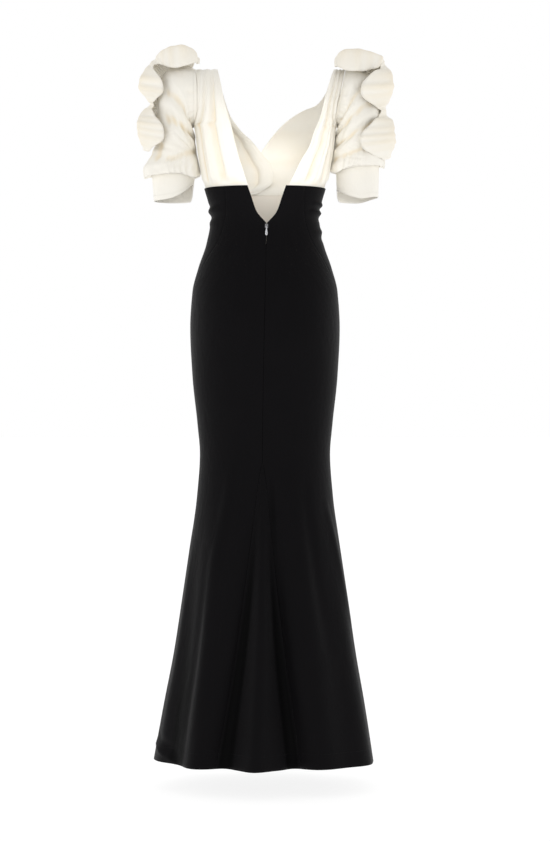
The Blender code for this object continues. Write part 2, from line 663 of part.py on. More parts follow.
def sleeve_form(rings, side):
    """The sleeve without its creases: u goes round from the outer line by the back, v along it."""
    read = {name: smooth_curve(rings, "step", name) for name in Ring._fields[1:]}

    def surface(u, v):
        turn = 2 * math.pi * u
        outer = Vector((read["outer_x"](v), 0, read["outer_z"](v)))
        inner = Vector((read["inner_x"](v), 0, read["inner_z"](v)))
        point = (outer + inner) / 2 + (outer - inner) / 2 * math.cos(turn)
        point.y += read["deep"](v) * math.sin(turn)
        point.x *= side
        seam = armhole_point(side, u, body_point) + Vector((side * LAP_GAP, 0, 0))
        return seam.lerp(point, 1 - (1 - min(v / SLEEVE_HEAD, 1.0)) ** 2)

    return surface


def crease_depth(creases, u, v):
    """How far the cloth lies in at that place, all creases together."""
    total = 0.0
    for crease in creases:
        start = Vector((crease.round_a * SLEEVE_GIRTH, crease.along_a * SLEEVE_LENGTH))
        end = Vector((crease.round_b * SLEEVE_GIRTH, crease.along_b * SLEEVE_LENGTH))
        here = Vector((u % 1.0 * SLEEVE_GIRTH, v * SLEEVE_LENGTH))
        along = min(max((here - start).dot(end - start) / (end - start).length_squared, 0.0), 1.0)
        total += crease.depth * bell((here - start.lerp(end, along)).length, crease.half_width)
    return total * ramp(v, 0.06, 0.22) * ramp(1 - v, 0.04, 0.12)


def add_sleeve(name, material, rings, creases, side):
    form = sleeve_form(rings, side)

    def surface(u, v):
        return form(u, v) + normal_of(form, u, v, True) * (side * crease_depth(creases, u, v))

    def normal(u, v):
        """Out of the sleeve. Where the body faces the same way, it is the body's at the armhole."""
        own = normal_of(surface, u, v, True) * -side
        body = armhole_point(side, u, body_normal)
        return own.lerp(body, max(own.dot(body), 0.0) * (1 - ramp(v, 0.0, SLEEVE_HEAD))).normalized()

    columns = 4 * (BODICE_SIDE[-1].row - ARMHOLE_ROW)
    add_wall(name, material, surface, normal, columns, 14, IVORY_WALL, ring=True)


def add_cuff(name, material, size, side):
    """A plain band. Its lower edge rises towards the body at the back."""

    def surface(u, v):
        turn = 2 * math.pi * u
        out, back = math.cos(turn), math.sin(turn)
        rise = size.rise_inner * ((1 - out) / 2) ** 3 * ramp(back, -0.6, 0.2)
        rise += size.rise_outer * ramp(out, 0, 1)
        z = size.bottom_z + rise + (size.top_z - size.bottom_z - rise) * v
        narrow = size.taper * (1 - v)
        x = size.middle_x + (size.half_width - narrow) * out
        return Vector((x * side, (size.half_depth - narrow) * back, z))

    def normal(u, v):
        return normal_of(surface, u, v, True) * side

    add_wall(name, material, surface, normal, 24, 2, IVORY_WALL, ring=True)


def add_frill(name, material, rings, waves, side):
    """A wide strip sewn along the sleeve by one edge. It folds over and its free edge waves."""
    sleeve = sleeve_form(rings, side)
    read = {axis: smooth_curve(waves, "step", axis, free=True) for axis in Wave._fields[1:]}

    def surface(u, v):
        step = read["root"](u)
        out = normal_of(sleeve, FRILL_ROUND, step, True) * -side
        root = sleeve(FRILL_ROUND, step) + out * (FRILL_GAP + FRILL_WALL / 2)
        fold = Vector((read["fold_x"](u) * side, read["fold_y"](u), read["fold_z"](u)))
        edge = Vector((read["x"](u) * side, read["y"](u), read["z"](u)))
        pull = 2 * fold - (root + edge) / 2
        return root * (1 - v) ** 2 + pull * (2 * v * (1 - v)) + edge * (v * v)

    def normal(u, v):
        return normal_of(surface, u, v, False)

    add_wall(name, material, surface, normal, FRILL_COLUMNS, FRILL_ROWS, FRILL_WALL, outer_share=0.5)


def plain_material(name, colour, roughness, metallic=0.0):
    material = bpy.data.materials.new(name)
    material.use_nodes = True
    shader = material.node_tree.nodes["Principled BSDF"]
    shader.inputs["Base Color"].default_value = (*colour, 1)
    shader.inputs["Roughness"].default_value = roughness
    shader.inputs["Metallic"].default_value = metallic
    return material


def add_solid(name, shape, material, place, cutter=False):
    """An object from a bmesh function. A cutter only serves another object's Boolean."""
    bm = bmesh.new()
    shape(bm)
    bmesh.ops.recalc_face_normals(bm, faces=bm.faces[:])
    mesh = bpy.data.meshes.new(name)
    bm.to_mesh(mesh)
    bm.free()
    part = link(name, mesh, material)
    part.matrix_world = place
    if cutter:
        part.hide_render = True
        part.display_type = "WIRE"
    return part


def add_boolean(part, other, operation):
    modifier = part.modifiers.new(f"{operation.lower()} {other.name}", "BOOLEAN")
    modifier.operation = operation
    modifier.object = other
    modifier.solver = "EXACT"


def block(low, high):
    def shape(bm):
        for vert in bmesh.ops.create_cube(bm, size=1.0)["verts"]:
            vert.co = [high[axis] if vert.co[axis] > 0 else low[axis] for axis in range(3)]

    return shape


def rod_along_x(radius, length, sides):
    def shape(bm):
        turn = Matrix.Rotation(math.radians(90), 4, "Y")
        bmesh.ops.create_cone(
            bm, cap_ends=True, segments=sides, radius1=radius, radius2=radius, depth=length, matrix=turn
        )

    return shape


def pull_plate(bm):
    """The pull's drop-shaped plate, which hangs from the eye."""
    outline = []
    for i in range(PULL_STEPS + 1):
        t = i / PULL_STEPS
        swell = 0.42 + 0.58 * ramp(t, 0.15, 0.75)
        rounding = math.sqrt(1 - min(max(0.0, (t - 0.85) / 0.15), 1.0) ** 2)
        half = max(PULL_WIDTH / 2 * swell * rounding, 0.0003)
        outline.append((half, -EYE_HOLE_RADIUS - SEAM_GAP - t * PULL_LENGTH))
    outline += [(-x, z) for x, z in reversed(outline)]
    face = bm.faces.new([bm.verts.new((x, PULL_THICK / 2, z)) for x, z in outline])
    made = bmesh.ops.extrude_face_region(bm, geom=[face])["geom"]
    for vert in (item for item in made if isinstance(item, bmesh.types.BMVert)):
        vert.co.y = -PULL_THICK / 2


def zip_place():
    """Where the zip's pin lies, and how it leans: on the flat stretch of cloth below the notch."""
    high, low = NOTCH_BOTTOM_Z, NOTCH_BOTTOM_Z - (HIP_BAND.high - HIP_BAND.low) / HIP_BAND.rows
    top, bottom = body_point(centre_back(high), high), body_point(centre_back(low), low)
    down = (bottom - top).normalized()
    lean = math.atan2(down.y, -down.z)
    out = Vector((0, math.cos(lean), math.sin(lean)))
    here = top + down * (SLIDER_TOP_GAP + SLIDER_HEIGHT / 2)
    return Matrix.Translation(here + out * PIN_OUT) @ Matrix.Rotation(lean, 4, "X")


def add_zip(metal):
    """The slider with its two ears and pin, and the pull whose eye turns on that pin. In their own
    frame the pin is at the origin and +Y points out of the cloth."""
    place = zip_place()
    half, under = SLIDER_WIDTH / 2, SEAM_GAP - PIN_OUT
    low, high = (-half, under, -SLIDER_HEIGHT / 2), (half, under + SLIDER_THICK, SLIDER_HEIGHT / 2)
    slider = add_solid("zip_slider", block(low, high), metal, place)
    inner = EYE_LENGTH / 2 + SEAM_GAP
    bottom = under + SLIDER_THICK / 2
    for name, side in (("ear_left", 1), ("ear_right", -1)):
        low_x, high_x = sorted((side * inner, side * (inner + EAR_THICK)))
        ear = block((low_x, bottom, -EAR_WIDTH / 2), (high_x, bottom + EAR_HEIGHT, EAR_WIDTH / 2))
        add_boolean(slider, add_solid(name, ear, metal, place, cutter=True), "UNION")
    pin = rod_along_x(PIN_RADIUS, 2 * inner + EAR_THICK, 16)
    add_boolean(slider, add_solid("pin", pin, metal, place, cutter=True), "UNION")
    place = place @ Matrix.Rotation(math.radians(PULL_LEAN_DEG), 4, "X")
    pull = add_solid("zip_pull", rod_along_x(EYE_RADIUS, EYE_LENGTH, 20), metal, place)
    add_boolean(pull, add_solid("plate", pull_plate, metal, place, cutter=True), "UNION")
    hole = rod_along_x(EYE_HOLE_RADIUS, 2 * EYE_LENGTH, 20)
    add_boolean(pull, add_solid("eye_hole", hole, metal, place, cutter=True), "DIFFERENCE")


def main():
    for old in list(bpy.data.objects):
        bpy.data.objects.remove(old)
    add_skirt(plain_material("black crepe", (0.012, 0.011, 0.013), 0.62))
    ivory = plain_material("ivory taffeta", (0.86, 0.82, 0.73), 0.48)
    add_lining(plain_material("pale lining", (0.78, 0.72, 0.63), 0.50))
    add_bodice("back_bodice_left", ivory, BACK_LEFT, 1, True, 14, GATHERS_LEFT)
    add_bodice("back_bodice_right", ivory, BACK_RIGHT, -1, True, 14, GATHERS_RIGHT)
    add_bodice("front_bodice_left", ivory, FRONT_LEFT, 1, False, 12, lapped=True)
    add_bodice("front_bodice_right", ivory, FRONT_RIGHT, -1, False, 11)
    add_sleeve("sleeve_left", ivory, SLEEVE_LEFT, CREASES_LEFT, 1)
    add_sleeve("sleeve_right", ivory, SLEEVE_RIGHT, CREASES_RIGHT, -1)
    add_cuff("cuff_left", ivory, CUFF_LEFT, 1)
    add_cuff("cuff_right", ivory, CUFF_RIGHT, -1)
    add_frill("frill_left", ivory, SLEEVE_LEFT, FRILL_LEFT, 1)
    add_frill("frill_right", ivory, SLEEVE_RIGHT, FRILL_RIGHT, -1)
    add_zip(plain_material("zip metal", (0.45, 0.45, 0.47), 0.25, 1.0))


main()
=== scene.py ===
"""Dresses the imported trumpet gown: finer cloth on the forms of its solids, their folds, gathers and
creases, the cloths' own finish, and a plain studio.

Metres, +Z up. -Y is the wearer's front and +X the wearer's left. Angles are degrees round the body
from the centre back, and grow towards the wearer's left.
"""

import math
from collections import namedtuple

import bmesh
import bpy
import numpy as np
from bpy.props import FloatProperty, FloatVectorProperty, PointerProperty
from bpy.types import Operator, Panel, PropertyGroup
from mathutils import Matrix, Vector


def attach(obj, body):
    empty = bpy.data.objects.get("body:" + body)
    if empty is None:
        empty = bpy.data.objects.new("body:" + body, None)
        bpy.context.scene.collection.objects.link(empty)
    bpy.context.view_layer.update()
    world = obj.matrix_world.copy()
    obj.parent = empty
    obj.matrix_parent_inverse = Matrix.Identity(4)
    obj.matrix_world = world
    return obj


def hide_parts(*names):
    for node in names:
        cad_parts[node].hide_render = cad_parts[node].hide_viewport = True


bl_info = {
    "name": "Trumpet Gown",
    "version": (1, 0, 0),
    "blender": (4, 5, 0),
    "location": "3D View > Sidebar > Gown",
    "description": "Makes the cloth of a trumpet gown with a draped bodice and frilled sleeves",
    "category": "Add Mesh",
}

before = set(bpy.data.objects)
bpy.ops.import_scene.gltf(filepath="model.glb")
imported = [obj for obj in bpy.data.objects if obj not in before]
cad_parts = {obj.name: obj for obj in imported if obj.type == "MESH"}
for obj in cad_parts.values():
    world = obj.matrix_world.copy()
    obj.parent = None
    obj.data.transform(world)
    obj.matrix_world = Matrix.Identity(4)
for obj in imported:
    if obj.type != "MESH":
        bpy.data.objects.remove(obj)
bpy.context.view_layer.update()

# Driving sizes
TOP_EDGE_Z = -0.2565  # top edge of the black cloth
HEM_Z = -1.4770
SHOULDER_DROP = 0.105  # height over which the shoulder rounds from back to front
SEAM_GAP = 0.0003
LAP_GAP = 0.0008  # between two layers of cloth
BLACK_WALL = 0.0020
IVORY_WALL = 0.0016
FRILL_WALL = 0.0012

# Centre-back notch and seam, and the godet below them
NOTCH_BOTTOM_Z = -0.3360
SEAM_X_TOP = -0.0040
SEAM_X_KNEE = 0.0050
GODET_TOP_Z = -0.8450
GODET_LEFT_DEG = 25.0
GODET_RIGHT_DEG = -20.0
SIDE_PANEL_TIP_Z = -0.4870
TIP_HALF_WIDTH = 0.0010  # of the blunt upper tip of the godet and lower tip of a side panel

Notch = namedtuple("Notch", "z half_width")
NOTCH = (
    Notch(NOTCH_BOTTOM_Z, 0.0000),
    Notch(-0.3095, 0.0220),
    Notch(-0.2830, 0.0315),
    Notch(TOP_EDGE_Z, 0.0409),
)

# The form that the gown keeps: half width and depths, and how square its outline is (2 is round)
Section = namedtuple("Section", "z half_width back front square")
SECTIONS = (
    Section(-1.4770, 0.2330, 0.2030, 0.1920, 2.10),
    Section(-1.3545, 0.2115, 0.1850, 0.1720, 2.10),
    Section(-1.2513, 0.1924, 0.1700, 0.1550, 2.10),
    Section(-1.1223, 0.1741, 0.1480, 0.1350, 2.10),
    Section(-1.0190, 0.1602, 0.1300, 0.1210, 2.10),
    Section(-0.9159, 0.1462, 0.1120, 0.1080, 2.10),
    Section(-0.8250, 0.1400, 0.1010, 0.1000, 2.10),
    Section(-0.7611, 0.1451, 0.1060, 0.1010, 2.10),
    Section(-0.6580, 0.1559, 0.1190, 0.1040, 2.15),
    Section(-0.5547, 0.1606, 0.1350, 0.1100, 2.20),
    Section(-0.4773, 0.1559, 0.1240, 0.1130, 2.20),
    Section(-0.4257, 0.1430, 0.1060, 0.1100, 2.15),
    Section(-0.3740, 0.1258, 0.0860, 0.1040, 2.10),
    Section(-0.3225, 0.1172, 0.0770, 0.0990, 2.10),
    Section(-0.2880, 0.1216, 0.0810, 0.1010, 2.10),
    Section(-0.2537, 0.1310, 0.0880, 0.1070, 2.15),
    Section(-0.2100, 0.1385, 0.0930, 0.1230, 2.20),
    Section(-0.1750, 0.1440, 0.0950, 0.1330, 2.30),
    Section(-0.1350, 0.1485, 0.0950, 0.1270, 2.50),
    Section(-0.1000, 0.1570, 0.0930, 0.1120, 2.80),
    Section(-0.0600, 0.1720, 0.0930, 0.1000, 3.00),
    Section(0.0000, 0.1900, 0.0930, 0.0900, 3.00),
)

# Folds in the lower skirt: where each starts, its angle there and at the hem, its height at the
# hem (a trough is negative) and its half width in degrees
Fold = namedtuple("Fold", "start_z start_deg hem_deg height half_deg")
FOLDS = (
    Fold(-0.860, 0.5, 4.5, 0.024, 6.0),
    Fold(-0.860, 8.0, 22.0, -0.022, 8.0),
    Fold(-0.860, -5.0, -16.0, -0.028, 8.0),
    Fold(-0.930, 44.0, 36.0, 0.013, 9.0),
    Fold(-0.980, 62.0, 58.0, -0.012, 10.0),
    Fold(-0.900, -30.0, -32.0, 0.010, 12.0),
    Fold(-0.940, -68.0, -59.0, 0.020, 13.0),
    Fold(-1.000, -100.0, -94.0, -0.006, 12.0),
    Fold(-0.980, 92.0, 84.0, 0.006, 12.0),
    Fold(-0.960, 118.0, 112.0, -0.014, 12.0),
    Fold(-0.940, 142.0, 138.0, 0.014, 13.0),
    Fold(-0.980, 168.0, 166.0, -0.012, 12.0),
    Fold(-0.950, -164.0, -168.0, 0.014, 12.0),
    Fold(-1.010, -142.0, -143.0, -0.014, 12.0),
    Fold(-0.960, -120.0, -119.0, 0.012, 12.0),
)

FOLD_GROWTH = 0.85  # how soon the folds deepen on their way down: 1 is evenly
GODET_FLARE = 0.80  # the same for the godet's width
TOP_EDGE_FADE = (0.004, 0.020)  # below the top edge the cloth lies smooth, then its creases start

# The curved seam of the side panel, as a share of the half width at that height
Seam = namedtuple("Seam", "z share")
SIDE_SEAM = (
    Seam(SIDE_PANEL_TIP_Z, 1.0000),
    Seam(-0.4650, 0.9860),
    Seam(-0.4400, 0.9500),
    Seam(-0.4050, 0.8900),
    Seam(-0.3650, 0.7800),
    Seam(-0.3225, 0.7200),
    Seam(TOP_EDGE_Z, 0.6500),
)

# The bodice's 12 rows: the height on the side seam and round the armhole, and each piece's neck edge
ARMHOLE_Z = -0.1220
ARMHOLE_ROW = 5
BodiceRow = namedtuple(
    "BodiceRow",
    "row side_z back_left_x back_left_z back_right_x back_right_z "
    "front_left_x front_left_z front_right_x front_right_z",
)
BODICE = (
    BodiceRow(0, -0.2610, 0.0345, -0.2610, -0.0500, -0.2610, 0.0200, -0.2610, 0.0400, -0.2610),
    BodiceRow(1, -0.2520, 0.0375, -0.2520, -0.0530, -0.2520, 0.0060, -0.2520, 0.0395, -0.2520),
    BodiceRow(2, -0.2250, 0.0450, -0.2270, -0.0650, -0.2270, -0.0165, -0.2370, 0.0350, -0.2200),
    BodiceRow(3, -0.1920, 0.0550, -0.1950, -0.0780, -0.2010, -0.0185, -0.2150, 0.0250, -0.1900),
    BodiceRow(4, -0.1570, 0.0636, -0.1630, -0.0954, -0.1707, -0.0040, -0.1820, 0.0094, -0.1630),
    BodiceRow(5, ARMHOLE_Z, 0.0710, -0.1300, -0.1040, -0.1430, 0.0150, -0.1560, -0.0150, -0.1290),
    BodiceRow(6, -0.1160, 0.0780, -0.1050, -0.1165, -0.1137, 0.0350, -0.1330, -0.0450, -0.0990),
    BodiceRow(7, -0.0990, 0.0862, -0.0772, -0.1235, -0.0880, 0.0580, -0.1110, -0.0800, -0.0770),
    BodiceRow(8, -0.0746, 0.0905, -0.0540, -0.1290, -0.0640, 0.0770, -0.0870, -0.1130, -0.0640),
    BodiceRow(9, -0.0475, 0.0946, -0.0328, -0.1356, -0.0406, 0.0880, -0.0560, -0.1310, -0.0430),
    BodiceRow(10, -0.0230, 0.0985, -0.0150, -0.1420, -0.0180, 0.0955, -0.0270, -0.1410, -0.0200),
    BodiceRow(11, -0.0060, 0.1010, -0.0040, -0.1470, -0.0045, 0.1005, -0.0070, -0.1470, -0.0050),
    BodiceRow(12, 0.0000, 0.1020, 0.0000, -0.1490, 0.0000, 0.1020, 0.0000, -0.1490, 0.0000),
)
Armhole = namedtuple("Armhole", "z left right")
ARMHOLE = (
    Armhole(ARMHOLE_Z, 0.1520, 0.1520),
    Armhole(-0.1100, 0.1475, 0.1495),
    Armhole(-0.0900, 0.1437, 0.1520),
    Armhole(-0.0500, 0.1435, 0.1620),
    Armhole(0.0000, 0.1480, 0.1720),
)

# Gathers in the back bodice: shares of the way from neck edge to side, at the bottom and the top
Gather = namedtuple("Gather", "bottom top height half_width")
GATHERS_LEFT = (
    Gather(0.16, 0.14, 0.0035, 0.08),
    Gather(0.36, 0.24, -0.0045, 0.08),
    Gather(0.53, 0.42, 0.0040, 0.08),
    Gather(0.71, 0.62, -0.0040, 0.07),
    Gather(0.86, 0.82, 0.0030, 0.07),
)
GATHERS_RIGHT = (
    Gather(0.12, 0.16, 0.0035, 0.08),
    Gather(0.30, 0.34, -0.0045, 0.08),
    Gather(0.47, 0.50, 0.0045, 0.08),
    Gather(0.64, 0.66, -0.0045, 0.08),
    Gather(0.82, 0.84, 0.0040, 0.08),
)
ROLL_SHARE = 0.16  # the rolled neckline of the left front, as a share of the piece's width
ROLL_DEPTH = 0.0110
ROLL_FADE = ((0.06, 0.20), (0.20, 0.40))  # up the piece, from its lower edge and its top
FRONT_LAP = 0.0045  # how much deeper the left front lies where the right one laps it
FRONT_LAP_FADE = (0.050, 0.085)  # out from the middle of the gown
FRONT_LAP_CROWD = 1.6  # how much finer the left front's mesh is near its rolled neckline
TUCK = (0.0045, 0.0220)  # above the black cloth's top edge, where the ivory comes out from under it
GATHER_FADE = ((0.00, 0.08), (0.00, 0.22))  # across a back piece, from its neck edge and its side
SHOULDER_FADE = (0.45, 0.90)  # up a back piece, where its gathers grow low
SHOULDER_LOSS = 0.8
BUST_X = 0.082
BUST_Z = -0.172
BUST_SPREAD = 0.052
BUST_HEIGHT = 0.012
BUST_SIDE_FADE = (0.00, 0.35)  # across a front piece, from its side
BUST_FADE = (0.100, 0.140)  # out from the middle of the gown
LINING_HEIGHTS = (-0.3662, -0.2613)  # lower and upper edge

# Sleeve rings from the armhole to the cuff: a point on the outer line, one on the inner line, and
# the half depth from front to back
Ring = namedtuple("Ring", "step outer_x outer_z inner_x inner_z deep")
SLEEVE_LEFT = (
    Ring(0.00, 0.1490, 0.0000, 0.1530, -0.1230, 0.0600),
    Ring(0.12, 0.1740, 0.0080, 0.1600, -0.1290, 0.0640),
    Ring(0.26, 0.2050, 0.0020, 0.1580, -0.1380, 0.0660),
    Ring(0.40, 0.2260, -0.0300, 0.1515, -0.1500, 0.0670),
    Ring(0.54, 0.2320, -0.0800, 0.1482, -0.1640, 0.0660),
    Ring(0.68, 0.2330, -0.1300, 0.1458, -0.1810, 0.0640),
    Ring(0.80, 0.2400, -0.1750, 0.1424, -0.2010, 0.0640),
    Ring(0.90, 0.2610, -0.2130, 0.1400, -0.2170, 0.0650),
    Ring(0.96, 0.2590, -0.2310, 0.1385, -0.2300, 0.0630),
    Ring(1.00, 0.2440, -0.2290, 0.1490, -0.2270, 0.0490),
)
SLEEVE_RIGHT = (
    Ring(0.00, 0.1730, 0.0000, 0.1530, -0.1230, 0.0600),
    Ring(0.12, 0.1960, 0.0060, 0.1600, -0.1290, 0.0650),
    Ring(0.26, 0.2230, -0.0060, 0.1580, -0.1370, 0.0680),
    Ring(0.40, 0.2400, -0.0400, 0.1515, -0.1470, 0.0700),
    Ring(0.54, 0.2500, -0.0850, 0.1484, -0.1600, 0.0700),
    Ring(0.68, 0.2560, -0.1280, 0.1462, -0.1750, 0.0690),
    Ring(0.80, 0.2590, -0.1650, 0.1430, -0.1920, 0.0680),
    Ring(0.90, 0.2580, -0.1920, 0.1405, -0.2100, 0.0670),
    Ring(0.96, 0.2560, -0.2080, 0.1390, -0.2210, 0.0640),
    Ring(1.00, 0.2463, -0.2075, 0.1512, -0.2195, 0.0510),
)
SLEEVE_HEAD = 0.12  # share of its length over which the sleeve leaves the armhole's shape
SLEEVE_GIRTH = 0.36
SLEEVE_LENGTH = 0.27
SLEEVE_MIDDLE_X = 0.196
SNUG = 0.0075  # how much closer the underarm lies to the bodice than on the solid
SNUG_ZONE = (0.13, 0.27)  # half width and middle of that, along the sleeve
CREASE_FADE = ((0.06, 0.22), (0.04, 0.12))  # along the sleeve, from its head and its hem
FAN_FADE = ((0.08, 0.22), (0.03, 0.14))
HEAD_ZONE = (0.10, 0.10)  # half width and middle, along the sleeve, of the gathers at its head
HEAD_FADE = (0.00, 0.08)
HEM_ZONE = (0.10, 0.90)  # the same for the gathers above the cuff
SAG_ZONE = (0.06, 0.95)  # and where the cloth sags over it
HEM_FADE = (0.00, 0.04)
FAN_X = 0.143  # where the fine creases of a sleeve meet, at the underarm
FAN_Z = -0.185
FAN_START = (0.010, 0.040)  # away from there
FAN_END = (0.090, 0.140)
FAN_LOSS = 0.6

# Creases in the sleeves: two ends, each as a share round from the outer line by the back and a
# share along from the armhole
Crease = namedtuple("Crease", "round_a along_a round_b along_b depth half_width")
CREASES_LEFT = (
    Crease(0.42, 0.16, 0.16, 0.40, 0.0070, 0.015),
    Crease(0.45, 0.38, 0.18, 0.58, 0.0080, 0.015),
    Crease(0.46, 0.66, 0.24, 0.84, 0.0060, 0.014),
    Crease(0.12, 0.78, 0.14, 0.92, 0.0050, 0.014),
    Crease(0.60, 0.22, 0.86, 0.42, 0.0070, 0.015),
    Crease(0.58, 0.46, 0.82, 0.62, 0.0070, 0.015),
    Crease(0.64, 0.72, 0.80, 0.88, 0.0060, 0.014),
)
CREASES_RIGHT = (
    Crease(0.40, 0.12, 0.12, 0.36, 0.0070, 0.015),
    Crease(0.44, 0.36, 0.14, 0.46, 0.0080, 0.015),
    Crease(0.45, 0.60, 0.16, 0.62, 0.0070, 0.015),
    Crease(0.44, 0.82, 0.12, 0.80, 0.0060, 0.014),
    Crease(0.60, 0.18, 0.86, 0.38, 0.0070, 0.015),
    Crease(0.57, 0.42, 0.84, 0.56, 0.0070, 0.015),
    Crease(0.60, 0.70, 0.82, 0.78, 0.0060, 0.014),
)
Cuff = namedtuple("Cuff", "middle_x top_z bottom_z half_width half_depth taper rise_inner rise_outer")
CUFF_LEFT = Cuff(0.1965, -0.2200, -0.2830, 0.0472, 0.0487, 0.0050, 0.036, 0.000)
CUFF_RIGHT = Cuff(0.1988, -0.2000, -0.2830, 0.0467, 0.0502, 0.0020, 0.022, 0.008)

# The frill: how far along the sleeve it is sewn on, where its cloth folds over on its way out and
# where its free edge lies, one row for each turn of its waves
Wave = namedtuple("Wave", "step root fold_x fold_y fold_z x y z")
FRILL_LEFT = (
    Wave(0.00, 0.050, 0.1440, 0.016, 0.022, 0.1420, 0.028, 0.008),
    Wave(0.07, 0.100, 0.1540, 0.034, 0.038, 0.1480, 0.046, 0.008),
    Wave(0.15, 0.170, 0.1750, 0.044, 0.046, 0.1700, 0.056, 0.000),
    Wave(0.22, 0.235, 0.2020, 0.042, 0.043, 0.1960, 0.056, -0.004),
    Wave(0.28, 0.275, 0.2260, 0.024, 0.032, 0.2180, 0.040, 0.004),
    Wave(0.33, 0.305, 0.2350, 0.014, 0.020, 0.2320, 0.034, 0.008),
    Wave(0.38, 0.335, 0.2440, 0.018, 0.008, 0.2380, 0.040, -0.002),
    Wave(0.43, 0.365, 0.2560, 0.038, -0.006, 0.2320, 0.054, -0.012),
    Wave(0.49, 0.405, 0.2660, 0.052, -0.028, 0.2180, 0.062, -0.034),
    Wave(0.54, 0.445, 0.2680, 0.048, -0.047, 0.2160, 0.060, -0.056),
    Wave(0.59, 0.490, 0.2560, 0.028, -0.063, 0.2320, 0.048, -0.070),
    Wave(0.63, 0.525, 0.2460, 0.014, -0.073, 0.2380, 0.036, -0.077),
    Wave(0.67, 0.560, 0.2530, 0.018, -0.085, 0.2400, 0.042, -0.089),
    Wave(0.72, 0.595, 0.2650, 0.040, -0.099, 0.2340, 0.058, -0.104),
    Wave(0.80, 0.655, 0.2710, 0.054, -0.122, 0.2160, 0.066, -0.130),
    Wave(0.88, 0.715, 0.2700, 0.048, -0.146, 0.2160, 0.064, -0.158),
    Wave(0.94, 0.745, 0.2640, 0.032, -0.162, 0.2360, 0.050, -0.170),
    Wave(1.00, 0.765, 0.2600, 0.018, -0.172, 0.2480, 0.036, -0.180),
)
FRILL_RIGHT = (
    Wave(0.00, 0.050, 0.1560, 0.014, 0.018, 0.1520, 0.026, 0.002),
    Wave(0.06, 0.090, 0.1600, 0.032, 0.032, 0.1540, 0.046, 0.000),
    Wave(0.14, 0.160, 0.1800, 0.044, 0.038, 0.1740, 0.060, -0.010),
    Wave(0.22, 0.230, 0.2140, 0.044, 0.035, 0.2060, 0.062, -0.012),
    Wave(0.28, 0.265, 0.2480, 0.028, 0.026, 0.2360, 0.044, -0.004),
    Wave(0.33, 0.285, 0.2520, 0.014, 0.014, 0.2460, 0.036, 0.002),
    Wave(0.38, 0.305, 0.2600, 0.022, 0.002, 0.2440, 0.046, -0.006),
    Wave(0.43, 0.325, 0.2690, 0.046, -0.012, 0.2300, 0.064, -0.014),
    Wave(0.49, 0.385, 0.2720, 0.060, -0.036, 0.2060, 0.078, -0.040),
    Wave(0.55, 0.455, 0.2690, 0.054, -0.060, 0.2060, 0.077, -0.068),
    Wave(0.60, 0.515, 0.2600, 0.030, -0.079, 0.2340, 0.054, -0.085),
    Wave(0.64, 0.550, 0.2580, 0.022, -0.089, 0.2450, 0.042, -0.092),
    Wave(0.68, 0.585, 0.2610, 0.022, -0.101, 0.2440, 0.046, -0.104),
    Wave(0.73, 0.630, 0.2710, 0.046, -0.116, 0.2300, 0.066, -0.119),
    Wave(0.80, 0.720, 0.2730, 0.060, -0.142, 0.2040, 0.079, -0.148),
    Wave(0.88, 0.820, 0.2720, 0.052, -0.168, 0.2060, 0.077, -0.177),
    Wave(0.94, 0.870, 0.2690, 0.030, -0.184, 0.2320, 0.056, -0.190),
    Wave(1.00, 0.900, 0.2660, 0.012, -0.193, 0.2520, 0.036, -0.197),
)
FRILL_ROUND = 0.04  # where it is sewn on, as a share round the sleeve from its outer line
FRILL_FOLD = (0.15, 0.50)  # half width and middle, across the frill, of the fold, which lies smoother
FRILL_FOLD_LOSS = 0.7
FRILL_WAVE_FADE = (0.02, 0.30)  # across the frill, from its sewn edge
FRILL_GATHER_START = (0.00, 0.08)
FRILL_GATHER_END = (0.10, 0.45)
FRILL_GAP = -0.0004  # from the sleeve out to the frill's sewn edge, which is stitched down

# Small ripples of a cloth's edge: a share of the full height, waves in one length, how far they
# swing aside, how fast and from where, how they lean as they run down the cloth, and the first's
# place in a turn
Ripple = namedtuple("Ripple", "share waves swing rate start lean turn")
HEAD_GATHERS = (Ripple(1.0, 19, 0.60, 6 * math.pi, 0.0, 0.0, 0.0),)
HEM_GATHERS = (
    Ripple(1.0, 16, 0.90, 6 * math.pi, 1.0, 0.0, 0.0),
    Ripple(0.8, 7, 0.00, 0.0, 0.0, 0.0, 2.0),
)
HEM_SAG = (
    Ripple(2.0, 3, 0.00, 0.0, 0.0, 0.0, -0.30 * math.pi),
    Ripple(1.4, 5, 0.00, 0.0, 0.0, 0.0, 0.10 * math.pi),
)
FAN_CREASES = (
    Ripple(0.65, 1 / 0.33, 0.30, 1 / 0.021, 0.0, 0.0, 0.0),
    Ripple(0.35, 1 / 0.19, 0.40, 1 / 0.034, 0.0, 0.0, 0.60 * math.pi),
)
FRILL_WAVES = (
    Ripple(1.5, 11, 0.35, 11.0, 0.0, 0.15, 0.0),
    Ripple(0.9, 19, 0.25, 23.0, 0.0, -0.20, 1.0),
)
FRILL_GATHERS = (Ripple(0.8, 43, 0.50, 17.0, 0.0, 0.0, 0.0),)

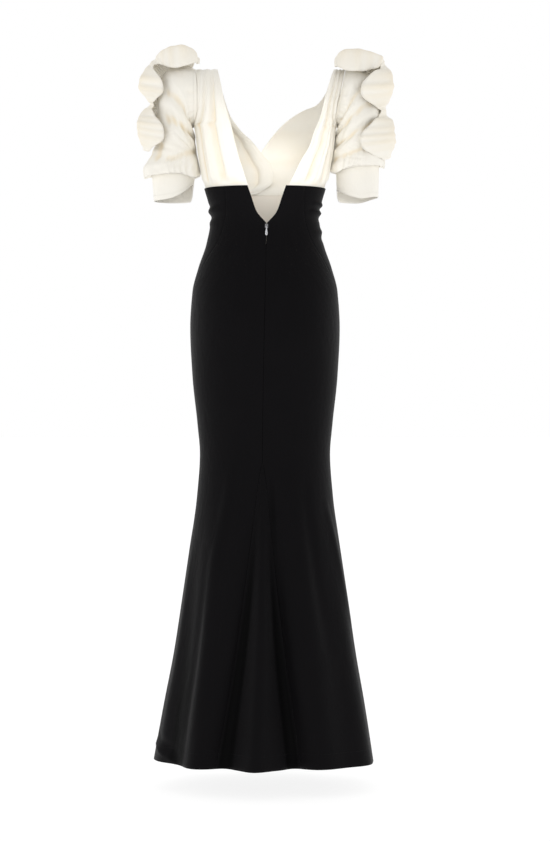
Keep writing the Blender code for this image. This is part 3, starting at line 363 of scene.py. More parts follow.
# Creases near the waist and hips of the black cloth: two ends as angles and heights, height (a
# trough is negative) and half width
Pull = namedtuple("Pull", "degrees_a z_a degrees_b z_b height half_width")
PULLS = (
    Pull(112.0, -0.2960, 54.0, -0.2900, -0.0020, 0.0050),
    Pull(114.0, -0.3080, 56.0, -0.3020, 0.0034, 0.0052),
    Pull(112.0, -0.3190, 44.0, -0.3160, -0.0024, 0.0058),
    Pull(108.0, -0.3300, 62.0, -0.3320, 0.0016, 0.0060),
    Pull(-112.0, -0.2930, -60.0, -0.2900, 0.0030, 0.0042),
    Pull(-114.0, -0.3010, -52.0, -0.3000, -0.0022, 0.0045),
    Pull(-116.0, -0.3100, -58.0, -0.3080, 0.0030, 0.0045),
    Pull(-112.0, -0.3200, -48.0, -0.3240, -0.0022, 0.0060),
    Pull(-110.0, -0.3460, -66.0, -0.3520, 0.0026, 0.0070),
    Pull(-108.0, -0.3600, -70.0, -0.3660, -0.0016, 0.0080),
    Pull(128.0, -0.3080, 96.0, -0.3180, -0.0014, 0.0070),
    Pull(-126.0, -0.3040, -98.0, -0.3160, -0.0014, 0.0070),
    Pull(150.0, -0.3260, 118.0, -0.3330, 0.0012, 0.0080),
    Pull(-152.0, -0.3320, -120.0, -0.3380, 0.0012, 0.0080),
    Pull(14.0, -0.5900, 34.0, -0.6300, -0.0012, 0.0140),
    Pull(-16.0, -0.6000, -40.0, -0.6350, -0.0012, 0.0140),
)
# Long soft ridges and troughs of the lower skirt, on top of the solids' folds
FLOWS = (
    Pull(1.0, -0.8700, 1.5, -1.4900, 0.0050, 0.0090),
    Pull(4.0, -0.8800, 24.0, -1.5200, -0.0050, 0.0110),
    Pull(-3.0, -0.9300, -17.0, -1.5200, -0.0060, 0.0130),
    Pull(9.0, -0.9300, 33.0, -1.5200, 0.0035, 0.0130),
    Pull(-9.0, -0.9800, -27.0, -1.5200, 0.0035, 0.0130),
    Pull(30.0, -0.8600, 40.0, -1.0800, 0.0030, 0.0100),
    Pull(46.0, -1.0300, 50.0, -1.5200, -0.0050, 0.0120),
    Pull(-34.0, -0.9000, -42.0, -1.2300, -0.0040, 0.0120),
    Pull(-62.0, -0.9300, -72.0, -1.1800, 0.0030, 0.0100),
    Pull(-78.0, -1.0200, -76.0, -1.5200, 0.0030, 0.0130),
    Pull(74.0, -1.0400, 72.0, -1.5200, 0.0030, 0.0130),
    Pull(58.0, -1.4720, 84.0, -1.4400, 0.0065, 0.0060),
    Pull(56.0, -1.4560, 80.0, -1.4240, -0.0040, 0.0070),
    Pull(-14.0, -1.4700, -26.0, -1.4640, 0.0050, 0.0050),
)

# Finer gathers of the back bodice, as the large ones
FINE_LEFT = (
    Gather(0.06, 0.05, 0.0014, 0.030),
    Gather(0.24, 0.18, 0.0018, 0.032),
    Gather(0.30, 0.22, -0.0012, 0.026),
    Gather(0.45, 0.34, 0.0016, 0.030),
    Gather(0.60, 0.50, -0.0016, 0.030),
    Gather(0.66, 0.56, 0.0014, 0.028),
    Gather(0.78, 0.70, 0.0016, 0.030),
)
FINE_RIGHT = (
    Gather(0.05, 0.07, -0.0012, 0.026),
    Gather(0.20, 0.25, 0.0018, 0.030),
    Gather(0.26, 0.30, -0.0014, 0.024),
    Gather(0.38, 0.42, 0.0018, 0.030),
    Gather(0.43, 0.47, -0.0014, 0.024),
    Gather(0.55, 0.58, 0.0016, 0.028),
    Gather(0.60, 0.63, -0.0012, 0.024),
    Gather(0.73, 0.75, 0.0016, 0.030),
    Gather(0.78, 0.80, -0.0012, 0.024),
    Gather(0.90, 0.92, 0.0014, 0.030),
)
# The turned neckline band of the left front: how deep it lies at shares of the band's width
Roll = namedtuple("Roll", "share depth")
ROLL = (
    Roll(0.00, 0.80),
    Roll(0.25, 1.00),
    Roll(0.60, 0.96),
    Roll(0.88, 0.62),
    Roll(1.00, 0.10),
    Roll(1.25, 0.00),
)
ROLL_BAND = 0.120  # the band's width, as a share of the piece's

# Each cloth's finish and painted shade: the woven grain and the soft crinkle are a size and a height,
# uneven is a share of its colour in its clouds, deep is the share of its colour painted as shade into
# its troughs, and hem is how deep its stitched hem is
Finish = namedtuple(
    "Finish", "roughness gloss grain grain_height crinkle crinkle_height uneven deep hem"
)
FINISHES_AND_SHADES = {
    "black crepe": Finish(
        0.55, 0.045, 0.0011, 0.00022, 0.030, 0.0008, (1.35, 1.32, 1.35), (0.25, 0.25, 0.27), 0.025
    ),
    "ivory taffeta": Finish(
        0.46, 0.35, 0.0008, 0.00006, 0.016, 0.0009, (1.0, 0.98, 0.94), (0.93, 0.83, 0.66), 0.012
    ),
    "pale lining": Finish(
        0.42, 0.35, 0.0006, 0.00004, 0.040, 0.0008, (1.0, 0.97, 0.93), (0.9, 0.85, 0.78), 0.012
    ),
}
SHEEN = 0.05
SHEEN_ROUGHNESS = 0.4
CLOUDS_PER_METRE = 14.0
GRAIN_STRETCH = 0.45
STITCH_LENGTH = 0.0024
STITCH_WIDTH = 0.0004
ZIP_COLOUR = (0.26, 0.26, 0.27, 1)
FULL_SHADE_DEPTH = 0.0017  # of a trough that takes the whole painted shade of its cloth there

# The studio: its area lights shine at one point, and each has a share of the main light's power
LIGHT_AIM = (0.0, 0.0, -0.6)
Light = namedtuple("Light", "name place size share")
LIGHTS = (
    Light("key", (2.9, 2.2, 0.4), 0.9, 0.45),
    Light("lens", (-0.2, 4.4, 0.2), 0.7, 0.50),
    Light("rim_left", (2.4, -0.9, -0.2), 1.2, 0.35),
    Light("rim_right", (-2.4, -0.9, -0.2), 1.2, 0.35),
    Light("front", (0.6, -4.2, 1.4), 2.0, 0.60),
)
INSIDE_LIGHT = (-0.02, 4.5, -0.05)  # a narrow light through the open back, on the inside of the front
INSIDE_AIM = (-0.022, -0.1, -0.185)
INSIDE_SPREAD_DEG = 3.6
INSIDE_SOFTNESS = 0.10
HORIZON_BAND = (0.20, 0.32)  # how high the surround turns from the horizon's light to the sky's
FLOOR_GREY = 0.20
FLOOR_GLOW = 0.86
CAMERA_PLACE = (-0.0215, 5.0, -0.7536)

# Each piece's cut: width and length of the cloth it is cut from, and its own flat area
Cut = namedtuple("Cut", "width length area")
CUTS = {
    "front_panel": Cut(0.90, 1.26, 0.520),
    "godet": Cut(0.20, 0.66, 0.070),
    "back_panel_left": Cut(0.42, 1.26, 0.250),
    "back_panel_right": Cut(0.42, 1.26, 0.260),
    "side_panel_left": Cut(0.18, 0.24, 0.027),
    "side_panel_right": Cut(0.18, 0.24, 0.027),
    "front_lining": Cut(0.40, 0.12, 0.036),
    "back_bodice_left": Cut(0.26, 0.28, 0.030),
    "back_bodice_right": Cut(0.26, 0.28, 0.022),
    "front_bodice_left": Cut(0.26, 0.28, 0.042),
    "front_bodice_right": Cut(0.30, 0.28, 0.046),
    "sleeve_left": Cut(0.46, 0.30, 0.085),
    "sleeve_right": Cut(0.46, 0.30, 0.085),
    "cuff_left": Cut(0.31, 0.07, 0.018),
    "cuff_right": Cut(0.32, 0.09, 0.024),
    "frill_left": Cut(0.52, 0.075, 0.0310),
    "frill_right": Cut(0.56, 0.080, 0.0360),
}


def curve(rows, key, column, free=False):
    """A smooth curve through one column of a table, held flat past its ends. It doesn't overshoot,
    unless it is free to swing through its turns."""
    rows = sorted(rows, key=lambda row: getattr(row, key))
    at = np.array([getattr(row, key) for row in rows], float)
    value = np.array([getattr(row, column) for row in rows], float)
    slope = np.diff(value) / np.diff(at)
    if free:
        middle = (value[2:] - value[:-2]) / (at[2:] - at[:-2])
    else:
        before, after = slope[:-1], slope[1:]
        same_way = before * after > 0
        middle = np.where(same_way, 2 * before * after / np.where(same_way, before + after, 1), 0)
    tangent = np.concatenate([slope[:1], middle, slope[-1:]])

    def read(x):
        x = np.clip(x, at[0], at[-1])
        i = np.clip(np.searchsorted(at, x, side="right") - 1, 0, len(at) - 2)
        width = at[i + 1] - at[i]
        t = (x - at[i]) / width
        rise = t * t * (3 - 2 * t)
        start = t * (1 - t) ** 2 * width * tangent[i]
        end = -t * t * (1 - t) * width * tangent[i + 1]
        return value[i] + (value[i + 1] - value[i]) * rise + start + end

    return read


def ramp(x, low, high):
    """0 below low, 1 above high, and a soft step between."""
    t = np.clip((x - low) / (high - low), 0.0, 1.0)
    return t * t * (3 - 2 * t)


def bell(x, half_width, middle=0.0):
    """1 at the middle, and softly less on both sides."""
    return np.exp(-(((x - middle) / half_width) ** 2))


def fade(share, start, end):
    """1 in the middle of a piece, and a soft step down to 0 near its start and its end."""
    return ramp(share, *start) * ramp(1 - share, *end)


def ripples(rows, at, across=0.0, swing_at=None):
    """The height of those ripples, all together."""
    total = 0.0
    for row in rows:
        swing = row.swing * np.sin(row.rate * (at if swing_at is None else swing_at) + row.start)
        waves = row.waves * at + swing + row.lean * across
        total = total + row.share * np.cos(2 * math.pi * waves + row.turn)
    return total


half_width_at = curve(SECTIONS, "z", "half_width")
back_at = curve(SECTIONS, "z", "back")
front_at = curve(SECTIONS, "z", "front")
square_at = curve(SECTIONS, "z", "square")
seam_share_at = curve(SIDE_SEAM, "z", "share")
notch_half_width_at = curve(NOTCH, "z", "half_width")
bodice_side_at = curve(BODICE, "row", "side_z")
roll_at = curve(ROLL, "share", "depth")
armhole_x_at = {1: curve(ARMHOLE, "z", "left"), -1: curve(ARMHOLE, "z", "right")}
BODICE_ROWS = BODICE[-1].row


def depth_at(z, to_back):
    """Half depth of the body at that height, rounding to nothing at the shoulder line."""
    depth = np.where(to_back, back_at(z), front_at(z))
    above = np.clip((z + SHOULDER_DROP) / SHOULDER_DROP, 0.0, 1.0)
    return depth * np.sqrt(1 - above**2) + SEAM_GAP


def fold_height(degrees, z):
    """How far the lower skirt stands out at that angle and height, all its folds together."""
    total = 0.0
    for fold in FOLDS:
        down = np.clip((fold.start_z - z) / (fold.start_z - HEM_Z), 0.0, None)
        middle = fold.start_deg + (fold.hem_deg - fold.start_deg) * down
        off = (degrees - middle + 180) % 360 - 180
        total = total + fold.height * down**FOLD_GROWTH * bell(off, fold.half_deg)
    return total


def body_point(degrees, z):
    """The cloth's outer point at that angle and height."""
    z = np.minimum(z, 0.0)
    turn = np.radians(degrees)
    side, out = np.sin(turn), np.cos(turn)
    power = 2 / square_at(z)
    fold = fold_height(degrees, z)
    x = np.sign(side) * np.abs(side) ** power * half_width_at(z) + side * fold
    y = np.sign(out) * np.abs(out) ** power * depth_at(z, out > 0) + out * fold
    return np.stack([x, y, z + 0 * x], axis=-1)


def unit(vectors):
    return vectors / np.maximum(np.linalg.norm(vectors, axis=-1, keepdims=True), 1e-9)


def body_normal(degrees, z):
    up = body_point(degrees, z + 0.0005) - body_point(degrees, z - 0.0005)
    round_body = body_point(degrees + 0.1, z) - body_point(degrees - 0.1, z)
    return unit(np.cross(up, round_body))


def angle_of(x, z, to_back):
    """The angle at which the body has that x, on its back or its front."""
    share = np.minimum(np.abs(x) / half_width_at(z), 1.0)
    degrees = np.degrees(np.arcsin(share ** (square_at(z) / 2)))
    return np.copysign(np.where(to_back, degrees, 180 - degrees), x)


def metres_per_degree(z):
    """How far one degree is round the body, roughly."""
    return math.pi / 180 * (half_width_at(z) + depth_at(z, True)) / 2


def pull_height(pulls, degrees, z):
    """How far the cloth stands out there, all those creases together. They thin out at both ends."""
    total = 0.0
    for pull in pulls:
        off = (degrees - pull.degrees_a + 180) % 360 - 180
        scale = metres_per_degree(pull.z_a)
        along = np.array([(pull.degrees_b - pull.degrees_a) * scale, pull.z_b - pull.z_a])
        here = np.stack([off * scale, z - pull.z_a], axis=-1)
        length = float(along @ along)
        share = np.clip(here @ along / length, 0.0, 1.0)
        distance = np.linalg.norm(here - share[..., None] * along, axis=-1)
        thin = np.sin(math.pi * (0.1 + 0.8 * share))
        total = total + pull.height * bell(distance, pull.half_width) * thin
    return total


def surface_normal(surface, u, v, ring):
    """The unit normal of a surface over the unit square, right-handed with u and v."""
    step = 1e-3
    low_u, high_u = u - step, u + step
    if not ring:
        low_u, high_u = np.maximum(low_u, 0), np.minimum(high_u, 1)
    along_u = surface(high_u, v) - surface(low_u, v)
    along_v = surface(u, np.minimum(v + step, 1)) - surface(u, np.maximum(v - step, 0))
    return unit(np.cross(along_u, along_v))


def blur(grid, reach):
    """The grid averaged over that many cells each way, up and across."""
    for axis, cells in enumerate(reach):
        wide = np.pad(grid, [(cells, cells) if i == axis else (0, 0) for i in range(grid.ndim)], "edge")
        total = np.cumsum(np.insert(wide, 0, 0.0, axis=axis), axis=axis)
        high = np.take(total, range(2 * cells + 1, total.shape[axis]), axis=axis)
        low = np.take(total, range(total.shape[axis] - 2 * cells - 1), axis=axis)
        grid = (high - low) / (2 * cells + 1)
    return grid


def painted_shade_share(points, u, v, columns, rows, reach):
    """How far each point lies sunk below the cloth around it, from -1 to 1, measured over that many
    cells: the share of shade painted there.
    """
    order = np.lexsort((u, v))
    grid = points[order].reshape(rows + 1, columns + 1, 3)
    away = blur(blur(grid, reach), reach) - grid
    facing = unit(np.cross(np.gradient(grid, axis=1), np.gradient(grid, axis=0)))
    deep = (away * facing).sum(axis=-1)
    share = np.empty(len(points))
    share[order] = blur(deep, (2, 2)).reshape(-1)
    return np.clip(share / FULL_SHADE_DEPTH, -1.0, 1.0)


def add_cloth(
    name, surface, columns, rows, thick, outward, slot,
    ring=False, offset=-1.0, crowd=0.0, seen=1, two_sided=False, reach=(3, 3), shade_strength=1.0,
):
    """A sheet of cloth over the unit square, given its thickness, on the gown, in place of its solid.
    outward gives the way out at a point, crowd draws the mesh to the sides, seen is -1 where the
    cloth's inside shows, and tint is how strong the painted shade in its troughs is."""
    cut = CUTS[name]
    bm = bmesh.new()
    bmesh.ops.create_grid(bm, x_segments=columns, y_segments=rows, size=0.5)
    share = np.array([vert.co[:2] for vert in bm.verts]) + 0.5
    u, v = share[:, 0], share[:, 1]
    u = u - crowd * np.sin(2 * math.pi * u) / (2 * math.pi)
    weave = bm.loops.layers.uv.new("cloth")
    for face in bm.faces:
        for loop in face.loops:
            i = loop.vert.index
            loop[weave].uv = (u[i] * cut.width, v[i] * cut.length)
    points = surface(u, v)
    for vert, place in zip(bm.verts, points):
        vert.co = place
    bm.normal_update()
    facing = sum(face.normal.dot(outward(face.calc_center_median())) for face in bm.faces)
    if facing < 0:
        bmesh.ops.reverse_faces(bm, faces=bm.faces[:])
    # Painted shade: points sunk in the cloth's troughs get a share of its shaded colour, kept as a point
    # attribute
    deep = painted_shade_share(points, u, v, columns, rows, reach)
    deep = shade_strength * (np.abs(deep) if two_sided else deep * math.copysign(1, facing * seen))
    hollow = bm.verts.layers.float.new("hollow")
    for vert, share in zip(bm.verts, np.maximum(deep, 0.0)):
        vert[hollow] = share
    if ring:
        bmesh.ops.remove_doubles(bm, verts=bm.verts[:], dist=1e-6)
    mesh = bpy.data.meshes.new(name)
    bm.to_mesh(mesh)
    bm.free()
    mesh.materials.append(cloth_material(slot))
    mesh.shade_smooth()
    cloth = bpy.data.objects.new(name + "_cloth", mesh)
    bpy.context.scene.collection.objects.link(cloth)
    wall = cloth.modifiers.new("thickness", "SOLIDIFY")
    wall.thickness = thick
    wall.offset = offset
    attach(cloth, "gown")
    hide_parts(name)


def from_axis(point):
    """The way out of the body at a point."""
    return point.xy.to_3d().normalized()


def centre_back(z):
    """The angle of the centre-back seam."""
    seam_x = SEAM_X_TOP + (SEAM_X_KNEE - SEAM_X_TOP) * ramp(-z, -TOP_EDGE_Z, -GODET_TOP_Z)
    return angle_of(seam_x, z, True)


def back_edge(z, side):
    """The angle of a back panel's centre edge: the notch, the seam, then the godet's seam."""
    notch = angle_of(SEAM_X_TOP + side * notch_half_width_at(z), z, True)
    down = np.clip(GODET_TOP_Z - z, 0.0, None) / (GODET_TOP_Z - HEM_Z)
    swing = GODET_LEFT_DEG if side > 0 else GODET_RIGHT_DEG
    tip = np.where(z <= GODET_TOP_Z, side * TIP_HALF_WIDTH / metres_per_degree(z), 0.0)
    return np.where(z > NOTCH_BOTTOM_Z, notch, centre_back(z) + tip + swing * down**GODET_FLARE)


def side_seam(z, side):
    """The angle of the seam between a back panel and its side panel, or of the side seam below."""
    tip = 90 - TIP_HALF_WIDTH / metres_per_degree(z)
    upper = np.minimum(angle_of(seam_share_at(z) * half_width_at(z), z, True), tip)
    return side * np.where(z < SIDE_PANEL_TIP_Z, 90.0, upper)


def panel_surface(start_at, end_at, low, high, skirt, inset=0.0):
    """The body's form between two seams, with the cloth's creases, dipping a little at its seams."""

    def surface(u, v):
        v = 1 - (1 - v) ** skirt.row_crowd
        z = low + (high - low) * v
        start, end = start_at(z), end_at(z)
        gap = SEAM_GAP / 2 / metres_per_degree(z)
        degrees = start + gap + (end - start - 2 * gap) * u
        edge = np.minimum(degrees - start, end - degrees) * metres_per_degree(z)
        out = skirt.crease_strength * (pull_height(PULLS, degrees, z) + pull_height(FLOWS, degrees, z))
        out = out * ramp(TOP_EDGE_Z - z, *TOP_EDGE_FADE) - skirt.seam_dip * bell(edge, skirt.seam_width)
        return body_point(degrees, z) + body_normal(degrees, z) * (out - inset)[..., None]

    return surface


class GownSkirt(PropertyGroup):
    crease_strength: FloatProperty(
        name="Creases", description="Share of the creases' full height", default=1.0, min=0, max=2
    )
    seam_dip: FloatProperty(
        name="Seam dip", description="How far the cloth dips at a seam", default=0.0004, unit="LENGTH"
    )
    seam_width: FloatProperty(
        name="Seam width", description="Half width of the dip at a seam", default=0.0022, unit="LENGTH"
    )
    row_crowd: FloatProperty(
        name="Row crowding",
        description="How much finer the mesh is near the waist",
        default=1.3,
        min=1,
        max=2,
    )
    cloth_colour: FloatVectorProperty(
        name="Cloth",
        description="Colour of the black crepe",
        default=(0.0031, 0.0028, 0.0033),
        subtype="COLOR",
    )
    lining_colour: FloatVectorProperty(
        name="Lining",
        description="Colour of the front's lining",
        default=(0.88, 0.83, 0.75),
        subtype="COLOR",
    )


class GownBodice(PropertyGroup):
    cloth_colour: FloatVectorProperty(
        name="Cloth",
        description="Colour of the ivory taffeta",
        default=(0.93, 0.905, 0.84),
        subtype="COLOR",
    )
    gather_strength: FloatProperty(
        name="Gathers", description="Share of the gathers' full height", default=1.35, min=0, max=2
    )


class GownSleeves(PropertyGroup):
    crease_strength: FloatProperty(
        name="Creases", description="Share of the creases' full depth", default=1.0, min=0, max=2
    )
    head_gather: FloatProperty(
        name="Head gathers",
        description="Height of the gathers at the armhole",
        default=0.0009,
        unit="LENGTH",
    )
    frill_ripple: FloatProperty(
        name="Frill ripple",
        description="Height of the frills' small gathers",
        default=0.0011,
        unit="LENGTH",
    )
    fan_height: FloatProperty(
        name="Fan creases",
        description="Height of the creases that fan out from the underarm",
        default=0.0015,
        unit="LENGTH",
    )
    hem_gather: FloatProperty(
        name="Cuff gathers",
        description="Height of the gathers above the cuff",
        default=0.0015,
        unit="LENGTH",
    )


class GownStudio(PropertyGroup):
    floor_drop: FloatProperty(
        name="Floor drop", description="From the hem down to the floor", default=0.06, unit="LENGTH"
    )
    floor_size: FloatProperty(
        name="Floor size", description="Width of the floor", default=200.0, unit="LENGTH"
    )
    key_power: FloatProperty(
        name="Key light", description="Power of the main light", default=9.0, unit="POWER"
    )
    inside_power: FloatProperty(
        name="Inside light",
        description="Power of the light on the inside of the front",
        default=560.0,
        unit="POWER",
    )
    sky: FloatProperty(
        name="Sky", description="Brightness of the surround overhead", default=0.76, min=0
    )
    horizon: FloatProperty(
        name="Horizon", description="Brightness of the surround round about", default=1.0, min=0
    )
    lens: FloatProperty(
        name="Lens", description="Focal length of the camera", default=99.6, unit="CAMERA"
    )


def link_nodes(material):
    """The material's node tree and its shader."""
    material.use_nodes = True
    return material.node_tree, material.node_tree.nodes["Principled BSDF"]


def feed(tree, node, inputs):
    """Give a node's inputs their values, or a link where one comes from another node."""
    for key, value in dict(inputs).items():
        if isinstance(value, bpy.types.NodeSocket):
            tree.links.new(value, node.inputs[key])
        else:
            node.inputs[key].default_value = value


def add_node(tree, kind, inputs=(), **settings):
    """A node with its settings, values and links."""
    node = tree.nodes.new(kind)
    for key, value in settings.items():
        setattr(node, key, value)
    feed(tree, node, inputs)
    return node


def add_noise(tree, place, scale, detail, **more):
    """The height or tone of a soft noise at that scale."""
    inputs = {"Vector": place, "Scale": scale, "Detail": detail, **more}
    return add_node(tree, "ShaderNodeTexNoise", inputs).outputs["Fac"]


def add_mix(tree, share, first, second):
    """One colour that turns into another."""
    return add_node(tree, "ShaderNodeMix", {0: share, 6: first, 7: second}, data_type="RGBA").outputs[2]


def add_math(tree, operation, *inputs):
    return add_node(tree, "ShaderNodeMath", enumerate(inputs), operation=operation).outputs[0]


def add_bump(tree, height, distance, under=None):
    """A low relief, on top of another."""
    inputs = {"Strength": 1.0, "Distance": distance, "Height": height}
    if under:
        inputs["Normal"] = under
    return add_node(tree, "ShaderNodeBump", inputs).outputs["Normal"]


def cloth_material(slot):
    """Cloth with a woven grain, a soft crinkle, a little unevenness of colour, shade painted into
    its troughs and a line of stitches along its hem."""
    material = bpy.data.materials.get(slot + " cloth")
    if material:
        return material
    scene, finish = bpy.context.scene, FINISHES_AND_SHADES[slot]
    colour = {
        "black crepe": scene.gown_skirt.cloth_colour,
        "ivory taffeta": scene.gown_bodice.cloth_colour,
        "pale lining": scene.gown_skirt.lining_colour,
    }[slot]
    # deep is the cloth's colour as painted shade, used in its troughs
    uneven, deep = (
        (*(c * share for c, share in zip(colour, shares)), 1) for shares in (finish.uneven, finish.deep)
    )
    material = bpy.data.materials.new(slot + " cloth")
    tree, shader = link_nodes(material)
    place = add_node(tree, "ShaderNodeUVMap", uv_map="cloth").outputs["UV"]
    cloud = add_noise(tree, place, CLOUDS_PER_METRE, 3.0)
    # Painted shade: the point attribute turns the colour towards its shaded colour in the troughs
    hollow = add_node(tree, "ShaderNodeAttribute", attribute_name="hollow").outputs["Fac"]
    colour_with_painted_shade = add_mix(tree, hollow, add_mix(tree, cloud, (*colour, 1), uneven), deep)
    crinkle = add_noise(tree, place, 1 / finish.crinkle, 2.0, Distortion=0.6)
    stretch = add_node(tree, "ShaderNodeMapping", {"Vector": place, "Scale": (1.0, GRAIN_STRETCH, 1.0)})
    grain = add_noise(tree, stretch.outputs["Vector"], 1 / finish.grain, 2.0)
    relief = add_bump(tree, crinkle, finish.crinkle_height)
    relief = add_bump(tree, grain, finish.grain_height, relief)
    along = add_node(tree, "ShaderNodeSeparateXYZ", {"Vector": place})
    near = add_math(tree, "COMPARE", along.outputs["Y"], finish.hem, STITCH_WIDTH)
    dash = add_math(tree, "PINGPONG", along.outputs["X"], STITCH_LENGTH)
    gap = add_math(tree, "GREATER_THAN", dash, STITCH_LENGTH / 3)
    stitch = add_math(tree, "MULTIPLY", near, gap)
    values = {
        "Base Color": colour_with_painted_shade,
        "Roughness": finish.roughness,
        "Sheen Weight": SHEEN,
        "Sheen Roughness": SHEEN_ROUGHNESS,
        "Specular IOR Level": finish.gloss,
        "Normal": add_bump(tree, stitch, -STITCH_WIDTH, relief),
    }
    feed(tree, shader, values)
    return material


class MESH_OT_gown_skirt(Operator):
    """Add the skirt's black panels and the front's lining"""

    bl_idname = "mesh.gown_skirt"
    bl_label = "Skirt"

    def execute(self, context):
        skirt = context.scene.gown_skirt

        def panel(name, start_at, end_at, columns, rows, low=HEM_Z, high=TOP_EDGE_Z):
            surface = panel_surface(start_at, end_at, low, high, skirt)
            cloth = (name, surface, columns, rows, BLACK_WALL, from_axis, "black crepe")
            # The painted shade in the black panels' troughs is measured across the panels only
            add_cloth(*cloth, crowd=0.75, reach=(0, 7))

        panel("front_panel", lambda z: 180 - side_seam(z, 1), lambda z: 180 + side_seam(z, 1), 110, 210)
        panel("godet", lambda z: back_edge(z, -1), lambda z: back_edge(z, 1), 64, 130, high=GODET_TOP_Z)
        panel("back_panel_left", lambda z: back_edge(z, 1), lambda z: side_seam(z, 1), 66, 230)
        panel("back_panel_right", lambda z: side_seam(z, -1), lambda z: back_edge(z, -1), 66, 230)
        for side, word in ((1, "left"), (-1, "right")):
            seams = [lambda z, s=side: side_seam(z, s), lambda z, s=side: s * 180 - side_seam(z, s)]
            panel(f"side_panel_{word}", *seams[::side], 44, 110, low=SIDE_PANEL_TIP_Z)
        inset = BLACK_WALL + LAP_GAP
        low, high = LINING_HEIGHTS
        surface = panel_surface(lambda z: 90.0 + 0 * z, lambda z: 270.0 + 0 * z, low, high, skirt, inset)
        add_cloth("front_lining", surface, 90, 24, IVORY_WALL, from_axis, "pale lining")
        return {"FINISHED"}


def bust_height(x, z, share):
    """The soft fullness of a cup on a general figure. It fades towards the side seam."""
    full = BUST_HEIGHT * bell(np.abs(x) - BUST_X, BUST_SPREAD) * bell(z - BUST_Z, BUST_SPREAD)
    return full * ramp(1 - share, *BUST_SIDE_FADE) * (1 - ramp(np.abs(x), *BUST_FADE))


def gather_height(gathers, u, v):
    """How far the gathers stand out. They fade towards the shoulder."""
    total = sum(
        gather.height * bell(u - gather.bottom - (gather.top - gather.bottom) * v, gather.half_width)
        for gather in gathers
    )
    return total * fade(u, *GATHER_FADE) * (1 - SHOULDER_LOSS * ramp(v, *SHOULDER_FADE))


def armhole_place(side, row, to_back):
    """The angle and height of the armhole's edge at a row of the bodice, or of the side seam."""
    z = bodice_side_at(row)
    x = np.where(z <= ARMHOLE_Z, half_width_at(z), np.minimum(armhole_x_at[side](z), half_width_at(z)))
    return angle_of(side * x, z, to_back), z


def armhole_point(side, u):
    """A point on the armhole's edge. u starts at the shoulder and goes round by the back."""
    rows = BODICE_ROWS - ARMHOLE_ROW
    place = u % 1.0 * 2 * rows
    to_back = place < rows
    down = np.where(to_back, place, 2 * rows - place)
    return body_point(*armhole_place(side, BODICE_ROWS - down, to_back))


def bodice_surface(neck, side, to_back, strength, gathers=(), fine=(), lapped=False):
    """A bodice piece between its neck edge and its side, its lower edge under the black cloth."""
    neck_x, neck_z = (curve(BODICE, "row", f"{neck}_{axis}") for axis in "xz")

    def surface(u, v):
        row = v * BODICE_ROWS
        start = angle_of(neck_x(row), neck_z(row), to_back)
        if not to_back:
            start = np.where(start * side < 0, start + 360 * side, start)
        end, high = armhole_place(side, row, to_back)
        end = end + np.sign(start - end) * SEAM_GAP / metres_per_degree(high)
        share = u**FRONT_LAP_CROWD if lapped else u
        degrees, z = start + (end - start) * share, neck_z(row) + (high - neck_z(row)) * share
        point = body_point(degrees, z)
        tucked = 1 - ramp(z - TOP_EDGE_Z, *TUCK)
        inset = (BLACK_WALL + LAP_GAP) * tucked
        if to_back:
            full = strength * (gather_height(gathers, share, v) + gather_height(fine, share, v))
        else:
            full = bust_height(point[..., 0], z, share)
        full = full * (1 - tucked)
        if lapped:
            inset = inset + FRONT_LAP * (1 - ramp(np.abs(point[..., 0]), *FRONT_LAP_FADE))
            inset = inset + ROLL_DEPTH * roll_at(share / ROLL_BAND) * fade(v, *ROLL_FADE)
        return point + body_normal(degrees, z) * (full - inset)[..., None]

    return surface


class MESH_OT_gown_bodice(Operator):
    """Add the two backs and the two crossed fronts of the bodice"""

    bl_idname = "mesh.gown_bodice"
    bl_label = "Bodice"

    def execute(self, context):
        strength = context.scene.gown_bodice.gather_strength
        pieces = (
            ("back_bodice_left", "back_left", 1, True, GATHERS_LEFT, FINE_LEFT, False),
            ("back_bodice_right", "back_right", -1, True, GATHERS_RIGHT, FINE_RIGHT, False),
            ("front_bodice_left", "front_left", 1, False, (), (), True),
            ("front_bodice_right", "front_right", -1, False, (), (), False),
        )
        for name, neck, side, to_back, gathers, fine, lapped in pieces:
            surface = bodice_surface(neck, side, to_back, strength, gathers, fine, lapped)
            # The fronts show their insides and take a weaker painted shade in their troughs
            shown = {"seen": 1} if to_back else {"seen": -1, "shade_strength": 0.35}
            add_cloth(name, surface, 90, 110, IVORY_WALL, from_axis, "ivory taffeta", **shown)
        return {"FINISHED"}


def sleeve_form(rings, side):
    """The sleeve without its creases: u goes round from the outer line by the back, v along it."""
    read = {name: curve(rings, "step", name) for name in Ring._fields[1:]}

    def surface(u, v):
        turn = 2 * math.pi * u
        half_x = (read["outer_x"](v) - read["inner_x"](v)) / 2
        half_z = (read["outer_z"](v) - read["inner_z"](v)) / 2
        x = read["inner_x"](v) + half_x * (1 + np.cos(turn))
        z = read["inner_z"](v) + half_z * (1 + np.cos(turn))
        x = x - SNUG * bell(v, *SNUG_ZONE) * (1 - np.cos(turn)) / 2
        point = np.stack([side * x, read["deep"](v) * np.sin(turn), z], axis=-1)
        seam = armhole_point(side, u) + np.array([side * LAP_GAP, 0, 0])
        away = 1 - (1 - np.minimum(v / SLEEVE_HEAD, 1.0)) ** 2
        return seam + (point - seam) * away[..., None]

    return surface


